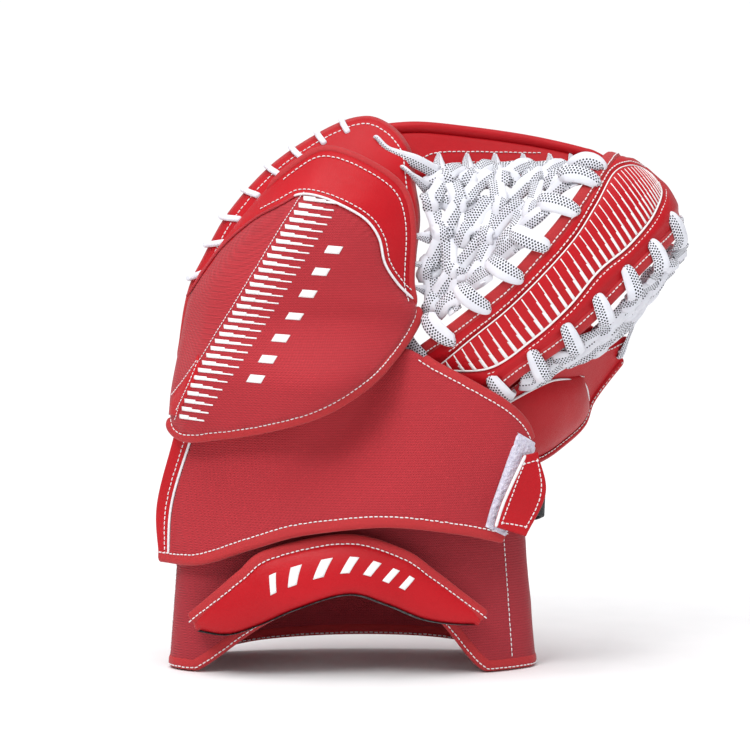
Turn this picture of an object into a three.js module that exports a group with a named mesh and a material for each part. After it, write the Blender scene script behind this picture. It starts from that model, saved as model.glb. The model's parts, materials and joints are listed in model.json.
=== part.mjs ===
// Goalie catch glove for the left hand, in millimetres, +Z up.
// It stands on its cuff with the fingers up. +X is the thumb side, -Y the back of the hand, +Y the
// catching side. Every soft part is a slab laid on a curved surface, in layers that keep small gaps.
import * as THREE from 'three';

// Driving dimensions
const LEAN = 0.105;            // the outline plane leans back: a point drops by this share of its Y
const GAP = 0.4;               // clearance between pieces that touch
const SHELL_THICKNESS = 7;
const PALM_THICKNESS = 7;
const CUFF_THICKNESS = 6;
const FLAP_THICKNESS = 6;
const TEE_THICKNESS = 7;
const PANEL_THICKNESS = 1.4;
const NET_THICKNESS = 4;
const PAD_CLEARANCE = 1.6;     // between the shell and the faceted back of the dome pad
const FINGER_ROOM = 27;        // between the finger shell and the finger palm, at the middle
const CUFF_MIDDLE_X = -46;
const CUFF_TAPER = 0.93;       // the cuff narrows to this share at its top
const ORIGIN = [0.5, 9.5];     // X and Y of the middle of the whole glove's box, where the origin goes
const LACE_RADIUS = 1.6;
const BEAD_RADIUS = 4;
const STALL_WALL = 2;

const LOOKS = {
  leather: { color: 0xc81e28, roughness: 0.42 },
  fabric: { color: 0xb22c36, roughness: 0.8 },
  binding: { color: 0xc23034, roughness: 0.7 },
  palm: { color: 0xb81c26, roughness: 0.55 },
  lace: { color: 0xebecf5, roughness: 0.75 },
  loop: { color: 0xd8d4e2, roughness: 0.95 },
  liner: { color: 0x121214, roughness: 0.9 },
  elastic: { color: 0x18181a, roughness: 0.8 },
  board: { color: 0xe6e2d8, roughness: 0.6 },
};

const glove = new THREE.Group();

// Curves. A point is [x, y, height on the leaning plane].
const place = ([x, y, height]) => new THREE.Vector3(x, y, height - LEAN * y);
const upright = ([x, y, z]) => new THREE.Vector3(x, y, z);

function curve(points, { toSpace = place, closed = false } = {}) {
  const path = new THREE.CatmullRomCurve3(points.map(toSpace), closed, 'catmullrom', 0.5);
  return (t) => path.getPoint(t);
}

const mix = (a, b, t) => a.clone().lerp(b, t);

// A surface between four edge curves. Missing side edges are straight.
function patch({ bottom, top, left, right }) {
  const start = left ?? ((v) => mix(bottom(0), top(0), v));
  const end = right ?? ((v) => mix(bottom(1), top(1), v));
  return (u, v) => {
    const across = mix(start(v), end(v), u);
    const up = mix(bottom(u), top(u), v);
    const corners = mix(mix(bottom(0), bottom(1), u), mix(top(0), top(1), u), v);
    return across.add(up).sub(corners);
  };
}

function normalAt(surface, u, v) {
  const step = 0.004;
  const alongU = surface(Math.min(u + step, 1), v).sub(surface(Math.max(u - step, 0), v));
  const alongV = surface(u, Math.min(v + step, 1)).sub(surface(u, Math.max(v - step, 0)));
  return alongU.cross(alongV).normalize();
}

// Meshes
function addMesh(name, look, geometry) {
  const mesh = new THREE.Mesh(geometry, new THREE.MeshStandardMaterial({ ...LOOKS[look], metalness: 0 }));
  mesh.name = name;
  glove.add(mesh);
  return mesh;
}

function signedVolume(points, faces) {
  let sum = 0;
  for (const [a, b, c] of faces) {
    sum += points[a].dot(points[b].clone().cross(points[c]));
  }
  return sum / 6;
}

function meshFrom(name, look, points, faces) {
  const outward = signedVolume(points, faces) > 0;
  const ordered = outward ? faces : faces.map(([a, b, c]) => [a, c, b]);
  const geometry = new THREE.BufferGeometry().setFromPoints(points);
  geometry.setIndex(ordered.flat());
  geometry.computeVertexNormals();
  return addMesh(name, look, geometry);
}

// A closed slab from two facing grids of points, columns by rows.
function slab(name, look, outer, inner, [columns, rows]) {
  const points = [];
  const faces = [];
  const index = (side, i, j) => (side * (columns + 1) + i) * (rows + 1) + j;
  const quad = (a, b, c, d) => faces.push([a, b, c], [a, c, d]);
  for (const face of [outer, inner]) {
    for (let i = 0; i <= columns; i += 1) {
      for (let j = 0; j <= rows; j += 1) {
        points.push(face(i / columns, j / rows));
      }
    }
  }
  for (let i = 0; i < columns; i += 1) {
    for (let j = 0; j < rows; j += 1) {
      quad(index(0, i, j), index(0, i + 1, j), index(0, i + 1, j + 1), index(0, i, j + 1));
      quad(index(1, i, j), index(1, i, j + 1), index(1, i + 1, j + 1), index(1, i + 1, j));
    }
  }
  for (let i = 0; i < columns; i += 1) {
    quad(index(0, i, 0), index(1, i, 0), index(1, i + 1, 0), index(0, i + 1, 0));
    quad(index(0, i + 1, rows), index(1, i + 1, rows), index(1, i, rows), index(0, i, rows));
  }
  for (let j = 0; j < rows; j += 1) {
    quad(index(0, 0, j + 1), index(1, 0, j + 1), index(1, 0, j), index(0, 0, j));
    quad(index(0, columns, j), index(1, columns, j), index(1, columns, j + 1), index(0, columns, j + 1));
  }
  return meshFrom(name, look, points, faces);
}

// One layer over part of a surface. depth gives its inner and outer distance along the normal, which
// level keeps horizontal, so that the lower edge is flat.
function layer(name, look, surface, { u = [0, 1], v = [0, 1], depth, cells, level = false }) {
  const face = (offset) => (s, t) => {
    const [a, b] = [u[0] + s * (u[1] - u[0]), v[0] + t * (v[1] - v[0])];
    const distance = typeof offset === 'function' ? offset(s, t) : offset;
    const normal = normalAt(surface, a, b);
    if (level) {
      normal.setZ(0).normalize();
    }
    return surface(a, b).addScaledVector(normal, distance);
  };
  return slab(name, look, face(depth[1]), face(depth[0]), cells);
}

// A crowned pad over part of a surface: thick in the middle, thin at its edges.
function padLayer(name, look, surface, { u, v, inner, edge, crown, cells }) {
  const swell = (s, t) => edge + crown * Math.sqrt(Math.sin(Math.PI * s) * Math.sin(Math.PI * t));
  return layer(name, look, surface, {
    u, v, depth: [inner, (s, t) => inner + Math.max(swell(s, t), 1)], cells,
  });
}

// A closed disc from an outline in X and height, with its two faces given as depths in Y.
function disc(name, look, outline, centre, near, far, { spokes, rings }) {
  const points = [];
  const faces = [];
  const at = (depth, spoke, ring) => {
    const rim = outline(spoke / spokes);
    const share = ring / rings;
    const x = centre[0] + (rim[0] - centre[0]) * share;
    const height = centre[1] + (rim[1] - centre[1]) * share;
    return place([x, depth(x, height, share), height]);
  };
  const index = (side, spoke, ring) => {
    const start = side * (spokes * rings + 1);
    return ring === 0 ? start : start + 1 + (spoke % spokes) * rings + ring - 1;
  };
  for (const depth of [near, far]) {
    points.push(at(depth, 0, 0));
    for (let spoke = 0; spoke < spokes; spoke += 1) {
      for (let ring = 1; ring <= rings; ring += 1) {
        points.push(at(depth, spoke, ring));
      }
    }
  }
  for (let spoke = 0; spoke < spokes; spoke += 1) {
    faces.push([index(0, spoke, 0), index(0, spoke, 1), index(0, spoke + 1, 1)]);
    faces.push([index(1, spoke, 0), index(1, spoke + 1, 1), index(1, spoke, 1)]);
    for (let ring = 1; ring < rings; ring += 1) {
      const [a, b] = [index(0, spoke, ring), index(0, spoke, ring + 1)];
      const [c, d] = [index(0, spoke + 1, ring + 1), index(0, spoke + 1, ring)];
      faces.push([a, b, c], [a, c, d]);
      const [e, f] = [index(1, spoke, ring), index(1, spoke, ring + 1)];
      const [g, h] = [index(1, spoke + 1, ring + 1), index(1, spoke + 1, ring)];
      faces.push([e, g, f], [e, h, g]);
    }
    const [a, b] = [index(0, spoke, rings), index(1, spoke, rings)];
    const [c, d] = [index(1, spoke + 1, rings), index(0, spoke + 1, rings)];
    faces.push([a, b, c], [a, c, d]);
  }
  return meshFrom(name, look, points, faces);
}

// A round cord along a route.
function cord(name, look, points, radius, steps, sides = 6) {
  const section = new THREE.Shape();
  for (let i = 0; i < sides; i += 1) {
    const angle = (2 * Math.PI * i) / sides;
    const [x, y] = [radius * Math.cos(angle), radius * Math.sin(angle)];
    i === 0 ? section.moveTo(x, y) : section.lineTo(x, y);
  }
  section.closePath();
  const route = new THREE.CatmullRomCurve3(points, false, 'catmullrom', 0.5);
  return addMesh(name, look, new THREE.ExtrudeGeometry(section, {
    steps, bevelEnabled: false, extrudePath: route,
  }));
}

// A short oval sleeve that a finger goes through.
function sleeve(name, look, centre, direction, [halfWidth, halfDepth], length) {
  const ring = new THREE.Shape();
  ring.absellipse(0, 0, halfWidth, halfDepth, 0, 2 * Math.PI);
  const hole = new THREE.Path();
  hole.absellipse(0, 0, halfWidth - STALL_WALL, halfDepth - STALL_WALL, 0, 2 * Math.PI, true);
  ring.holes.push(hole);
  const geometry = new THREE.ExtrudeGeometry(ring, {
    depth: length, bevelEnabled: false, curveSegments: 7,
  });
  const mesh = addMesh(name, look, geometry);
  mesh.position.copy(place(centre));
  mesh.quaternion.setFromUnitVectors(new THREE.Vector3(0, 0, 1), direction.clone().normalize());
  return mesh;
}

// Outlines of the finger section, seen square to the outline plane
const FINGER_MIDDLE = [-86, 262];
const SHELL_MIDDLE_Y = -24;
const SHELL_RIM = [
  [-42, 22, 384], [-24, 17, 380], [-10, 8, 364], [-6, -2, 340], [-2, -9, 316], [-4, -16, 288],
  [-5, -20, 258], [-10, -24, 226], [-34, -30, 196], [-84, -32, 184], [-138, -26, 180], [-167, -12, 192],
  [-166, -3, 230], [-161, 3, 262], [-151, 7, 285], [-133, 10, 317], [-104, 13, 349], [-72, 17, 371],
];
const DOME_RIM = [
  [-64, 363], [-37, 354], [-12, 336], [-4, 310], [-5, 268], [-2, 244], [-22, 213], [-43, 193], [-71, 177],
  [-107, 167], [-139, 162], [-166, 161], [-175, 178], [-169, 220], [-160, 263], [-145, 288], [-110, 331],
  [-84, 354],
];

function rimLoop(points) {
  const path = curve(
    points.map((p) => (p.length === 3 ? p : [p[0], 0, p[1]])), { toSpace: upright, closed: true },
  );
  return (t) => {
    const p = path(t);
    return [p.x, p.z, p.y];
  };
}
const shellRim = rimLoop(SHELL_RIM);
const domeRim = rimLoop(DOME_RIM);

// Where a ray from the middle through a point meets the shell's rim: its length and the rim's Y.
function rimBeyond(x, height) {
  const steps = 180;
  const [dx, dz] = [x - FINGER_MIDDLE[0], height - FINGER_MIDDLE[1]];
  const side = (p) => dx * (p[1] - FINGER_MIDDLE[1]) - dz * (p[0] - FINGER_MIDDLE[0]);
  const ahead = (p) => dx * (p[0] - FINGER_MIDDLE[0]) + dz * (p[1] - FINGER_MIDDLE[1]) > 0;
  for (let i = 0; i < steps; i += 1) {
    const [p, q] = [shellRim(i / steps), shellRim((i + 1) / steps)];
    if (side(p) * side(q) <= 0 && ahead(p)) {
      const t = side(p) / (side(p) - side(q) || 1);
      const [x0, z0, y0] = p.map((value, k) => value + (q[k] - value) * t);
      return { reach: Math.hypot(x0 - FINGER_MIDDLE[0], z0 - FINGER_MIDDLE[1]), y: y0 };
    }
  }
  return { reach: 1, y: SHELL_MIDDLE_Y };
}

// Depth of the shell's mid surface: flat in the middle, curling to the rim.
function shellDepth(x, height) {
  const distance = Math.hypot(x - FINGER_MIDDLE[0], height - FINGER_MIDDLE[1]);
  if (distance < 0.01) {
    return SHELL_MIDDLE_Y;
  }
  const rim = rimBeyond(x, height);
  return SHELL_MIDDLE_Y + (rim.y - SHELL_MIDDLE_Y) * (distance / rim.reach) ** 3;
}

const smooth = (t) => {
  const c = Math.min(Math.max(t, 0), 1);
  return c * c * (3 - 2 * c);
};

// The pad's lower lip stands off to let the cuff flap pass behind it.
function lipLift(x, height) {
  const middle = Math.exp(-(((x + 56) / 64) ** 2));
  return (7 + 31 * middle) * smooth((246 - height) / 55);
}

function addFingerSection() {
  const half = SHELL_THICKNESS / 2;
  const centre = FINGER_MIDDLE;
  const shellNear = (x, h) => shellDepth(x, h) - half;
  const shellFar = (x, h) => shellDepth(x, h) + half;
  disc('finger_shell', 'leather', shellRim, centre, shellNear, shellFar, { spokes: 36, rings: 5 });

  const domeFar = (x, h) => shellNear(x, h) - PAD_CLEARANCE - lipLift(x, h);
  const domeNear = (x, h, share) => domeFar(x, h) - 7 - 26 * Math.max(1 - share ** 2.4, 0) ** 0.8;
  const shrink = (value, k) => (k < 2 ? centre[k] + (value - centre[k]) * 0.965 : value);
  const padRim = (t) => domeRim(t).map(shrink);
  disc('backhand_pad', 'fabric', padRim, centre, domeNear, domeFar, { spokes: 36, rings: 5 });

  const room = (share) => (FINGER_ROOM - GAP) * (1 - share ** 3);
  const palmNear = (x, h, share) => shellFar(x, h) + GAP + room(share);
  const palmFar = (x, h, share) => palmNear(x, h, share) + PALM_THICKNESS;
  disc('finger_palm', 'palm', shellRim, centre, palmNear, palmFar, { spokes: 36, rings: 5 });
}

// The dome's edge tape runs round its lower lip, from the right notch to the left side.
function addDomeBinding() {
  const middle = FINGER_MIDDLE;
  const onDome = (s, t) => {
    const rim = domeRim(0.27 + 0.42 * s);
    const share = 0.972 + 0.045 * t;
    return [middle[0] + (rim[0] - middle[0]) * share, middle[1] + (rim[1] - middle[1]) * share];
  };
  const face = (offset) => (s, t) => {
    const [x, h] = onDome(s, t);
    return place([x, shellDepth(x, h) - SHELL_THICKNESS / 2 - PAD_CLEARANCE - lipLift(x, h) + offset, h]);
  };
  slab('backhand_binding', 'binding', face(-7.5), face(0), [22, 1]);
}

// Cuff
const FRONT_PLAN = [
  [-168, 3], [-172, -15], [-156, -31], [-108, -43], [-48, -47], [6, -44], [46, -34], [74, -14], [79, 3],
];
const FRONT_ARCH = [0, 0, 0, 36, 64, 46, 0, 0, 0];
const FAR_PLAN = [[-167, 10], [-154, 38], [-112, 55], [-46, 62], [18, 58], [60, 45], [79, 10]];
const FAR_ARCH = [0, 0, 7, 10, 8, 0, 0];

function cuffSurface(plan, lowHeights, topHeights) {
  const at = (heights, inset) => {
    const points = plan.map(([x, y], i) => [
      CUFF_MIDDLE_X + (x - CUFF_MIDDLE_X) * inset, y * inset, heights[i],
    ]);
    return curve(points, { toSpace: upright });
  };
  const [low, top] = [at(lowHeights, 1), at(topHeights, CUFF_TAPER)];
  return (u, v) => {
    const foot = low(u);
    foot.z = Math.max(foot.z, 0);
    return mix(foot, top(u), v);
  };
}

function addCuff() {
  const half = CUFF_THICKNESS / 2;
  const bind = 0.07;
  const front = cuffSurface(FRONT_PLAN, FRONT_ARCH, [112, 112, 110, 110, 112, 112, 108, 100, 98]);
  layer('cuff_front_panel', 'fabric', front, {
    level: true, v: [bind + 0.008, 1], depth: [-half, half], cells: [20, 3],
  });
  layer('cuff_front_binding', 'binding', front, {
    level: true, v: [0, bind], depth: [-half, half], cells: [20, 1],
  });
  const far = cuffSurface(FAR_PLAN, FAR_ARCH, [112, 126, 126, 124, 122, 116, 104]);
  layer('palm_cuff', 'fabric', far, {
    level: true, v: [bind + 0.004, 1], depth: [-half, half], cells: [16, 3],
  });
  layer('palm_cuff_binding', 'binding', far, {
    level: true, v: [0, bind], depth: [-half, half], cells: [16, 1],
  });
}

const LINER_LOW = [
  [-150, -8, 12], [-146, 14, 10], [-124, 34, 18], [-98, 42, 25], [-60, 47, 44], [0, 46, 52],
  [52, 32, 48], [66, 4, 40],
];
const LINER_TOP = [
  [-148, -8, 108], [-144, 14, 118], [-124, 33, 122], [-98, 40, 122], [-60, 45, 122], [0, 44, 120],
  [50, 30, 112], [64, 4, 100],
];

function addLining() {
  const wall = patch({
    bottom: curve(LINER_LOW, { toSpace: upright }), top: curve(LINER_TOP, { toSpace: upright }),
  });
  layer('hand_liner', 'liner', wall, { v: [0.1, 1], depth: [-1.5, 1.5], cells: [16, 3] });
  layer('liner_binding', 'binding', wall, { v: [0, 0.095], depth: [-1.5, 1.5], cells: [16, 1] });
}

function addInnerHand() {
  const fingerUp = new THREE.Vector3(0.04, 0.03, 1);
  const stalls = [
    ['index', -42, 266, 0.08], ['middle', -64, 284, 0.02], ['ring', -92, 280, -0.08],
    ['little', -119, 250, -0.18],
  ];
  for (const [finger, x, height, spread] of stalls) {
    const direction = fingerUp.clone().add(new THREE.Vector3(spread, 0, 0));
    sleeve(`${finger}_finger_stall`, 'liner', [x, -6.5, height], direction, [11.5, 8.5], 24);
  }
  const board = patch({
    bottom: curve([[-116, -10, 216], [-80, -6, 212], [-44, -10, 222]]),
    top: curve([[-116, -5, 240], [-80, -2, 243], [-46, -5, 243]]),
  });
  layer('palm_board', 'board', board, { depth: [-0.8, 0.8], cells: [8, 3] });
  const strap = patch({
    bottom: curve([
      [-146, 16, 138], [-140, -14, 138], [-100, -30, 138], [-50, -36, 140], [0, -32, 140],
      [34, -16, 138], [40, 10, 136],
    ]),
    top: curve([
      [-146, 16, 164], [-140, -14, 164], [-100, -30, 165], [-50, -36, 166], [0, -32, 166],
      [34, -16, 164], [40, 10, 162],
    ]),
  });
  layer('hand_strap', 'elastic', strap, { depth: [-1.2, 1.2], cells: [16, 2] });
}

// The heel of the palm, from the cuff up to the finger palm, with the stiff break beside the thumb
function addPalmHeel() {
  const heel = patch({
    bottom: curve([[-150, 46, 144], [-110, 64, 144], [-46, 71, 142], [14, 66, 140], [36, 58, 138]]),
    top: curve([[-160, 6, 190], [-120, 10, 189], [-84, 11, 193], [-34, 12, 203], [26, 16, 216]]),
  });
  layer('palm_heel', 'palm', heel, { depth: [-3.5, 3.5], cells: [12, 6] });
}

// Tee and its crossbars
const TEE_FINGER_EDGE = [
  [-2, -20, 222], [18, -36, 236], [38, -47, 252], [57, -54, 268], [77, -56, 290], [95, -50, 312],
  [112, -33, 337], [124, -6, 354], [130, 26, 358], [131, 60, 357],
];
const TEE_THUMB_EDGE = [
  [44, -28, 180], [68, -40, 203], [98, -47, 224], [120, -48, 243], [139, -44, 262], [156, -34, 279],
  [169, -18, 291], [178, 2, 300], [182, 30, 304], [182, 56, 304],
];
const teeSurface = (() => {
  const end = (k) => curve([TEE_FINGER_EDGE.at(k), TEE_THUMB_EDGE.at(k)]);
  const flat = patch({
    bottom: end(0), top: end(-1), left: curve(TEE_FINGER_EDGE), right: curve(TEE_THUMB_EDGE),
  });
  const crown = (u, v) => 4 * u * (1 - u) * (3 + 9 * smooth((v - 0.5) / 0.3));
  return (u, v) => flat(u, v).addScaledVector(normalAt(flat, u, v), crown(u, v));
})();

function addTee() {
  const half = TEE_THICKNESS / 2;
  const edge = 0.12;
  layer('tee_spine', 'leather', teeSurface, {
    u: [edge + 0.006, 0.994 - edge], depth: [-half, half], cells: [4, 18],
  });
  layer('tee_finger_binding', 'binding', teeSurface, {
    u: [0, edge], depth: [-half, half], cells: [1, 18],
  });
  layer('tee_thumb_binding', 'binding', teeSurface, {
    u: [1 - edge, 1], depth: [-half, half], cells: [1, 18],
  });
  layer('tee_backing', 'palm', teeSurface, {
    u: [0.02, 0.98], v: [0.03, 0.97], depth: [-half - 3.4, -half - 2 * GAP], cells: [4, 16],
  });
  const panel = {
    u: [0.3, 0.74], v: [0.12, 0.72], depth: [half + GAP, half + GAP + PANEL_THICKNESS], cells: [4, 14],
  };
  layer('tee_panel', 'leather', teeSurface, panel);
}

const BAR_LOW = [[-8, 30, 342], [22, 38, 343], [56, 47, 344], [92, 54, 345], [123, 58, 343]];
const BAR_TOP = [
  [-28, 40, 373], [0, 46, 375], [36, 56, 372], [74, 64, 367], [104, 68, 361], [127, 70, 355],
];
const fingerBar = patch({ bottom: curve(BAR_LOW), top: curve(BAR_TOP) });
const THUMB_BAR_INNER = [[178, 37, 293], [166, 46, 274], [152, 60, 250], [144, 68, 236]];
const THUMB_BAR_OUTER = [[181, 66, 297], [172, 76, 278], [157, 88, 254], [149, 94, 240]];
const thumbBar = patch({ bottom: curve(THUMB_BAR_INNER), top: curve(THUMB_BAR_OUTER) });

function addCrossbars() {
  layer('finger_crossbar', 'leather', fingerBar, { depth: [-3, 3], cells: [12, 3] });
  layer('thumb_crossbar', 'leather', thumbBar, { depth: [-3, 3], cells: [8, 3] });
  const bead = Array.from({ length: 9 }, (_, i) => {
    const p = fingerBar(i / 8, 1);
    return p.add(new THREE.Vector3(0, 0, BEAD_RADIUS + 1.2));
  });
  cord('crossbar_bead', 'leather', bead, BEAD_RADIUS, 16, 7);
}

// Nets, as slabs of the thickness of their laces
const NET_FINGER_SIDE = [
  [4, -25, 240], [3, -20, 262], [4, -16, 290], [5, -10, 316], [4, 2, 338], [4, 12, 346],
];
const NET_BAR_SIDE = [[4, 12, 346], [34, 26, 349], [66, 34, 352], [98, 30, 352], [118, -6, 351]];
const netFinger = patch({
  bottom: curve([[4, -25, 240], [6, -27, 239], [9, -30, 237]]),
  top: curve(NET_BAR_SIDE),
  left: curve(NET_FINGER_SIDE),
  right: curve([
    [9, -30, 237], [32, -44, 255], [51, -54, 272], [71, -57, 295], [89, -52, 316], [106, -36, 338],
    [118, -6, 351],
  ]),
});
const netThumb = patch({
  bottom: curve([[64, -36, 196], [76, -12, 200], [88, 12, 208]]),
  top: curve([[182, 8, 296], [184, 20, 293], [179, 29, 291]]),
  left: curve([
    [64, -36, 196], [94, -43, 217], [122, -43, 237], [142, -38, 256], [160, -28, 272], [174, -12, 285],
    [182, 8, 296],
  ]),
  right: curve([
    [88, 12, 208], [104, 30, 216], [122, 46, 222], [140, 58, 236], [154, 52, 256], [167, 38, 276],
    [179, 29, 291],
  ]),
});

function addNets() {
  const half = NET_THICKNESS / 2;
  layer('net_finger_side', 'lace', netFinger, { depth: [-half, half], cells: [8, 8] });
  layer('net_thumb_side', 'lace', netThumb, { depth: [-half, half], cells: [6, 10] });
}

// Thumb
const THUMB_OUTER = [
  [60, 4, 140], [82, 32, 143], [101, 54, 155], [115, 72, 168], [121, 80, 184], [132, 86, 200],
  [145, 88, 216],
];
const THUMB_TOP = [
  [54, -10, 186], [74, 2, 200], [92, 22, 211], [110, 42, 216], [126, 58, 221], [149, 84, 231],
];
const thumbBack = patch({ bottom: curve(THUMB_OUTER), top: curve(THUMB_TOP) });

function addThumb() {
  layer('thumb_shell', 'leather', thumbBack, { depth: [-3, 3], cells: [10, 5] });
  padLayer('thumb_pad', 'leather', thumbBack, {
    u: [0.04, 0.8], v: [0.08, 0.86], inner: 3 + 2 * GAP, edge: 2, crown: 8, cells: [10, 6],
  });
  layer('thumb_palm', 'palm', thumbBack, { u: [0.09, 0.95], depth: [-30, -24], cells: [9, 5] });
  const middle = thumbBack(0.45, 0.5).addScaledVector(normalAt(thumbBack, 0.45, 0.5), -13.5);
  const along = thumbBack(0.75, 0.6).sub(thumbBack(0.3, 0.45));
  const stall = sleeve('thumb_stall', 'liner', [0, 0, 0], along, [9.2, 9.2], 26);
  stall.position.copy(middle);
}

// Cuff flap with its loop strip, and the strap that holds it closed
const FLAP_LOW = [
  [-181, -16, 74], [-154, -40, 72], [-119, -58, 83], [-85, -67, 92], [-28, -71, 99], [22, -63, 95],
  [56, -50, 89],
];
const FLAP_TOP = [
  [-171, -16, 160], [-139, -36, 170], [-104, -48, 178], [-71, -53, 190], [-40, -45, 207],
  [-12, -35, 224], [13, -42, 211], [38, -47, 197], [59, -44, 184], [72, -36, 170], [78, -30, 152],
];
const flapSurface = patch({
  bottom: curve(FLAP_LOW),
  top: curve(FLAP_TOP),
  left: curve([[-181, -16, 74], [-183, -12, 112], [-171, -16, 160]]),
  right: curve([[56, -50, 89], [71, -42, 118], [78, -30, 152]]),
});

function addFlap() {
  const half = FLAP_THICKNESS / 2;
  layer('cuff_flap', 'fabric', flapSurface, {
    u: [0.055, 0.93], v: [0.1, 1], depth: [-half, half], cells: [16, 5],
  });
  layer('cuff_flap_binding', 'binding', flapSurface, {
    u: [0, 1], v: [0, 0.096], depth: [-half, half], cells: [18, 1],
  });
  layer('flap_side_strip', 'leather', flapSurface, {
    u: [0, 0.052], v: [0.1, 1], depth: [-half, half], cells: [1, 5],
  });
  layer('loop_strip', 'loop', flapSurface, {
    u: [0.933, 1], v: [0.1, 1], depth: [-half, half], cells: [1, 6],
  });
}

const TAB_LEFT = [[50, -63, 99], [56, -59, 117], [71, -48, 148]];
const TAB_RIGHT = [[72, -55, 92], [86, -46, 122], [80, -42, 150]];
const tabSurface = patch({
  bottom: curve([TAB_LEFT[0], TAB_RIGHT[0]]), top: curve([TAB_LEFT[2], TAB_RIGHT[2]]),
  left: curve(TAB_LEFT), right: curve(TAB_RIGHT),
});
const strapSurface = patch({
  bottom: curve([[81, -40, 106], [84, -18, 104], [85, 4, 104], [84, 24, 102]]),
  top: curve([[82, -40, 130], [85, -18, 128], [86, 4, 126], [85, 24, 124]]),
});

function addStrap() {
  layer('strap_tab', 'leather', tabSurface, { depth: [-1.6, 1.6], cells: [4, 6] });
  layer('strap_elastic', 'elastic', strapSurface, { depth: [-1.2, 1.2], cells: [6, 3] });
}

// Wrist pad: a leather roll with its binding over a mesh lining
const ROLL_LOW = [
  [-156, -44, 27], [-132, -56, 24], [-110, -62, 31], [-85, -66, 42], [-50, -68, 52], [-24, -67, 45],
  [0, -63, 35], [20, -57, 31], [40, -50, 30],
];
const ROLL_TOP = [
  [-158, -44, 34], [-140, -52, 50], [-122, -56, 66], [-104, -57, 80], [-52, -58, 90], [-14, -57, 80],
  [6, -55, 66], [26, -51, 50], [44, -48, 36],
];
const rollSurface = patch({ bottom: curve(ROLL_LOW), top: curve(ROLL_TOP) });

function addWristPad() {
  const profile = (s, t) => 1 + 8 * Math.sqrt(Math.max(
    Math.sin(Math.PI * s) * Math.sin(Math.PI * (0.1 + 0.8 * t)), 0,
  ));
  layer('wrist_roll', 'leather', rollSurface, { v: [0, 0.9], depth: [-2, profile], cells: [18, 4] });
  layer('wrist_binding', 'binding', rollSurface, { v: [0.925, 1], depth: [-2, 2], cells: [18, 1] });
  layer('wrist_lining', 'liner', rollSurface, { u: [0.02, 0.98], depth: [-5, -2 - GAP], cells: [18, 2] });
}

// Perimeter laces, lying in the seam between the two leathers
function addPerimeterLaces() {
  const seam = Array.from({ length: 13 }, (_, i) => {
    const [x, h, y] = shellRim(0.66 + (0.33 * i) / 12);
    const outward = new THREE.Vector3(x - FINGER_MIDDLE[0], 0, h - FINGER_MIDDLE[1]).normalize();
    return place([x, y + SHELL_THICKNESS / 2, h]).addScaledVector(outward, LACE_RADIUS + 1);
  });
  cord('finger_perimeter_lace', 'lace', seam, LACE_RADIUS, 24);
  const beside = (edge, push) => edge.slice(1, 8).map((p) => place([p[0] + push[0], p[1], p[2] + push[1]]));
  cord('tee_thumb_lace', 'lace', beside(TEE_THUMB_EDGE, [4.5, -5]), LACE_RADIUS, 16);
}

addFingerSection();
addDomeBinding();
addCuff();
addLining();
addInnerHand();
addPalmHeel();
addTee();
addCrossbars();
addNets();
addThumb();
addFlap();
addStrap();
addWristPad();
addPerimeterLaces();
glove.position.set(-ORIGIN[0], -ORIGIN[1], 0);

export default glove;
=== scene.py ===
"""The looks of a goalie catch glove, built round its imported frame.

Shapes are worked out in millimetres on the frame's own surfaces, and turned to metres when a mesh is made.
A point is (x, y, height), where the outline plane leans back: true height is height less LEAN times y.
"""
import json
import math

import bpy
import numpy as np
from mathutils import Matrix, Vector

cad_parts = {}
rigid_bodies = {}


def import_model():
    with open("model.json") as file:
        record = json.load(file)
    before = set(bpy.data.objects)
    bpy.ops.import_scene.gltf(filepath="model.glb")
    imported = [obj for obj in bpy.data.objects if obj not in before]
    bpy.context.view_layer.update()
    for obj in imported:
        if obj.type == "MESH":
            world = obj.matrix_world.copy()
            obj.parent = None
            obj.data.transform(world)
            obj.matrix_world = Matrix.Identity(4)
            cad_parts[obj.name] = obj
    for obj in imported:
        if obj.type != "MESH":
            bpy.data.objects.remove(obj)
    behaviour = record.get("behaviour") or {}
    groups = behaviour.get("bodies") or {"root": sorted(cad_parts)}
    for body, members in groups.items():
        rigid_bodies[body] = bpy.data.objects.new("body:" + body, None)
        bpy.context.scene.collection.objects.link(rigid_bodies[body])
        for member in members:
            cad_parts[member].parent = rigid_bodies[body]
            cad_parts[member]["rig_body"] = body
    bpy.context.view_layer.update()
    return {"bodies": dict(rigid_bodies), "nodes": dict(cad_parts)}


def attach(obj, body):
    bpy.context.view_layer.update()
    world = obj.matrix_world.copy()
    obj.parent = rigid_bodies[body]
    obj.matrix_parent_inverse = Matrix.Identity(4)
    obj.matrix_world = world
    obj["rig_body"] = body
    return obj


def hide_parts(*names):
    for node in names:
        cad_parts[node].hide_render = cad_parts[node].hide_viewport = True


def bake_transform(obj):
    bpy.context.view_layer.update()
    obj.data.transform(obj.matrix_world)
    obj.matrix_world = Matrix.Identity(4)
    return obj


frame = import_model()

LEAN = 0.105
ORIGIN = np.array([0.5, 9.5, 0.0])
MM = 0.001
FLOOR_Z = -0.0005
FLOOR_REACH = 45.0
SKY_POWER = 2.65
KEY_POWER = 11.0
FILL_POWER = 3.5
WORLD_POWER = 0.42
CAMERA_DISTANCE = 3.0
CAMERA_RISE = math.radians(6.0)
CAMERA_SPAN = 0.525                     # metres across the picture at the glove
rng = np.random.default_rng(7)


# ---------------------------------------------------------------- curves and surfaces
def place(points):
    p = np.array(points, float)
    p[..., 2] -= LEAN * p[..., 1]
    return p


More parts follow.
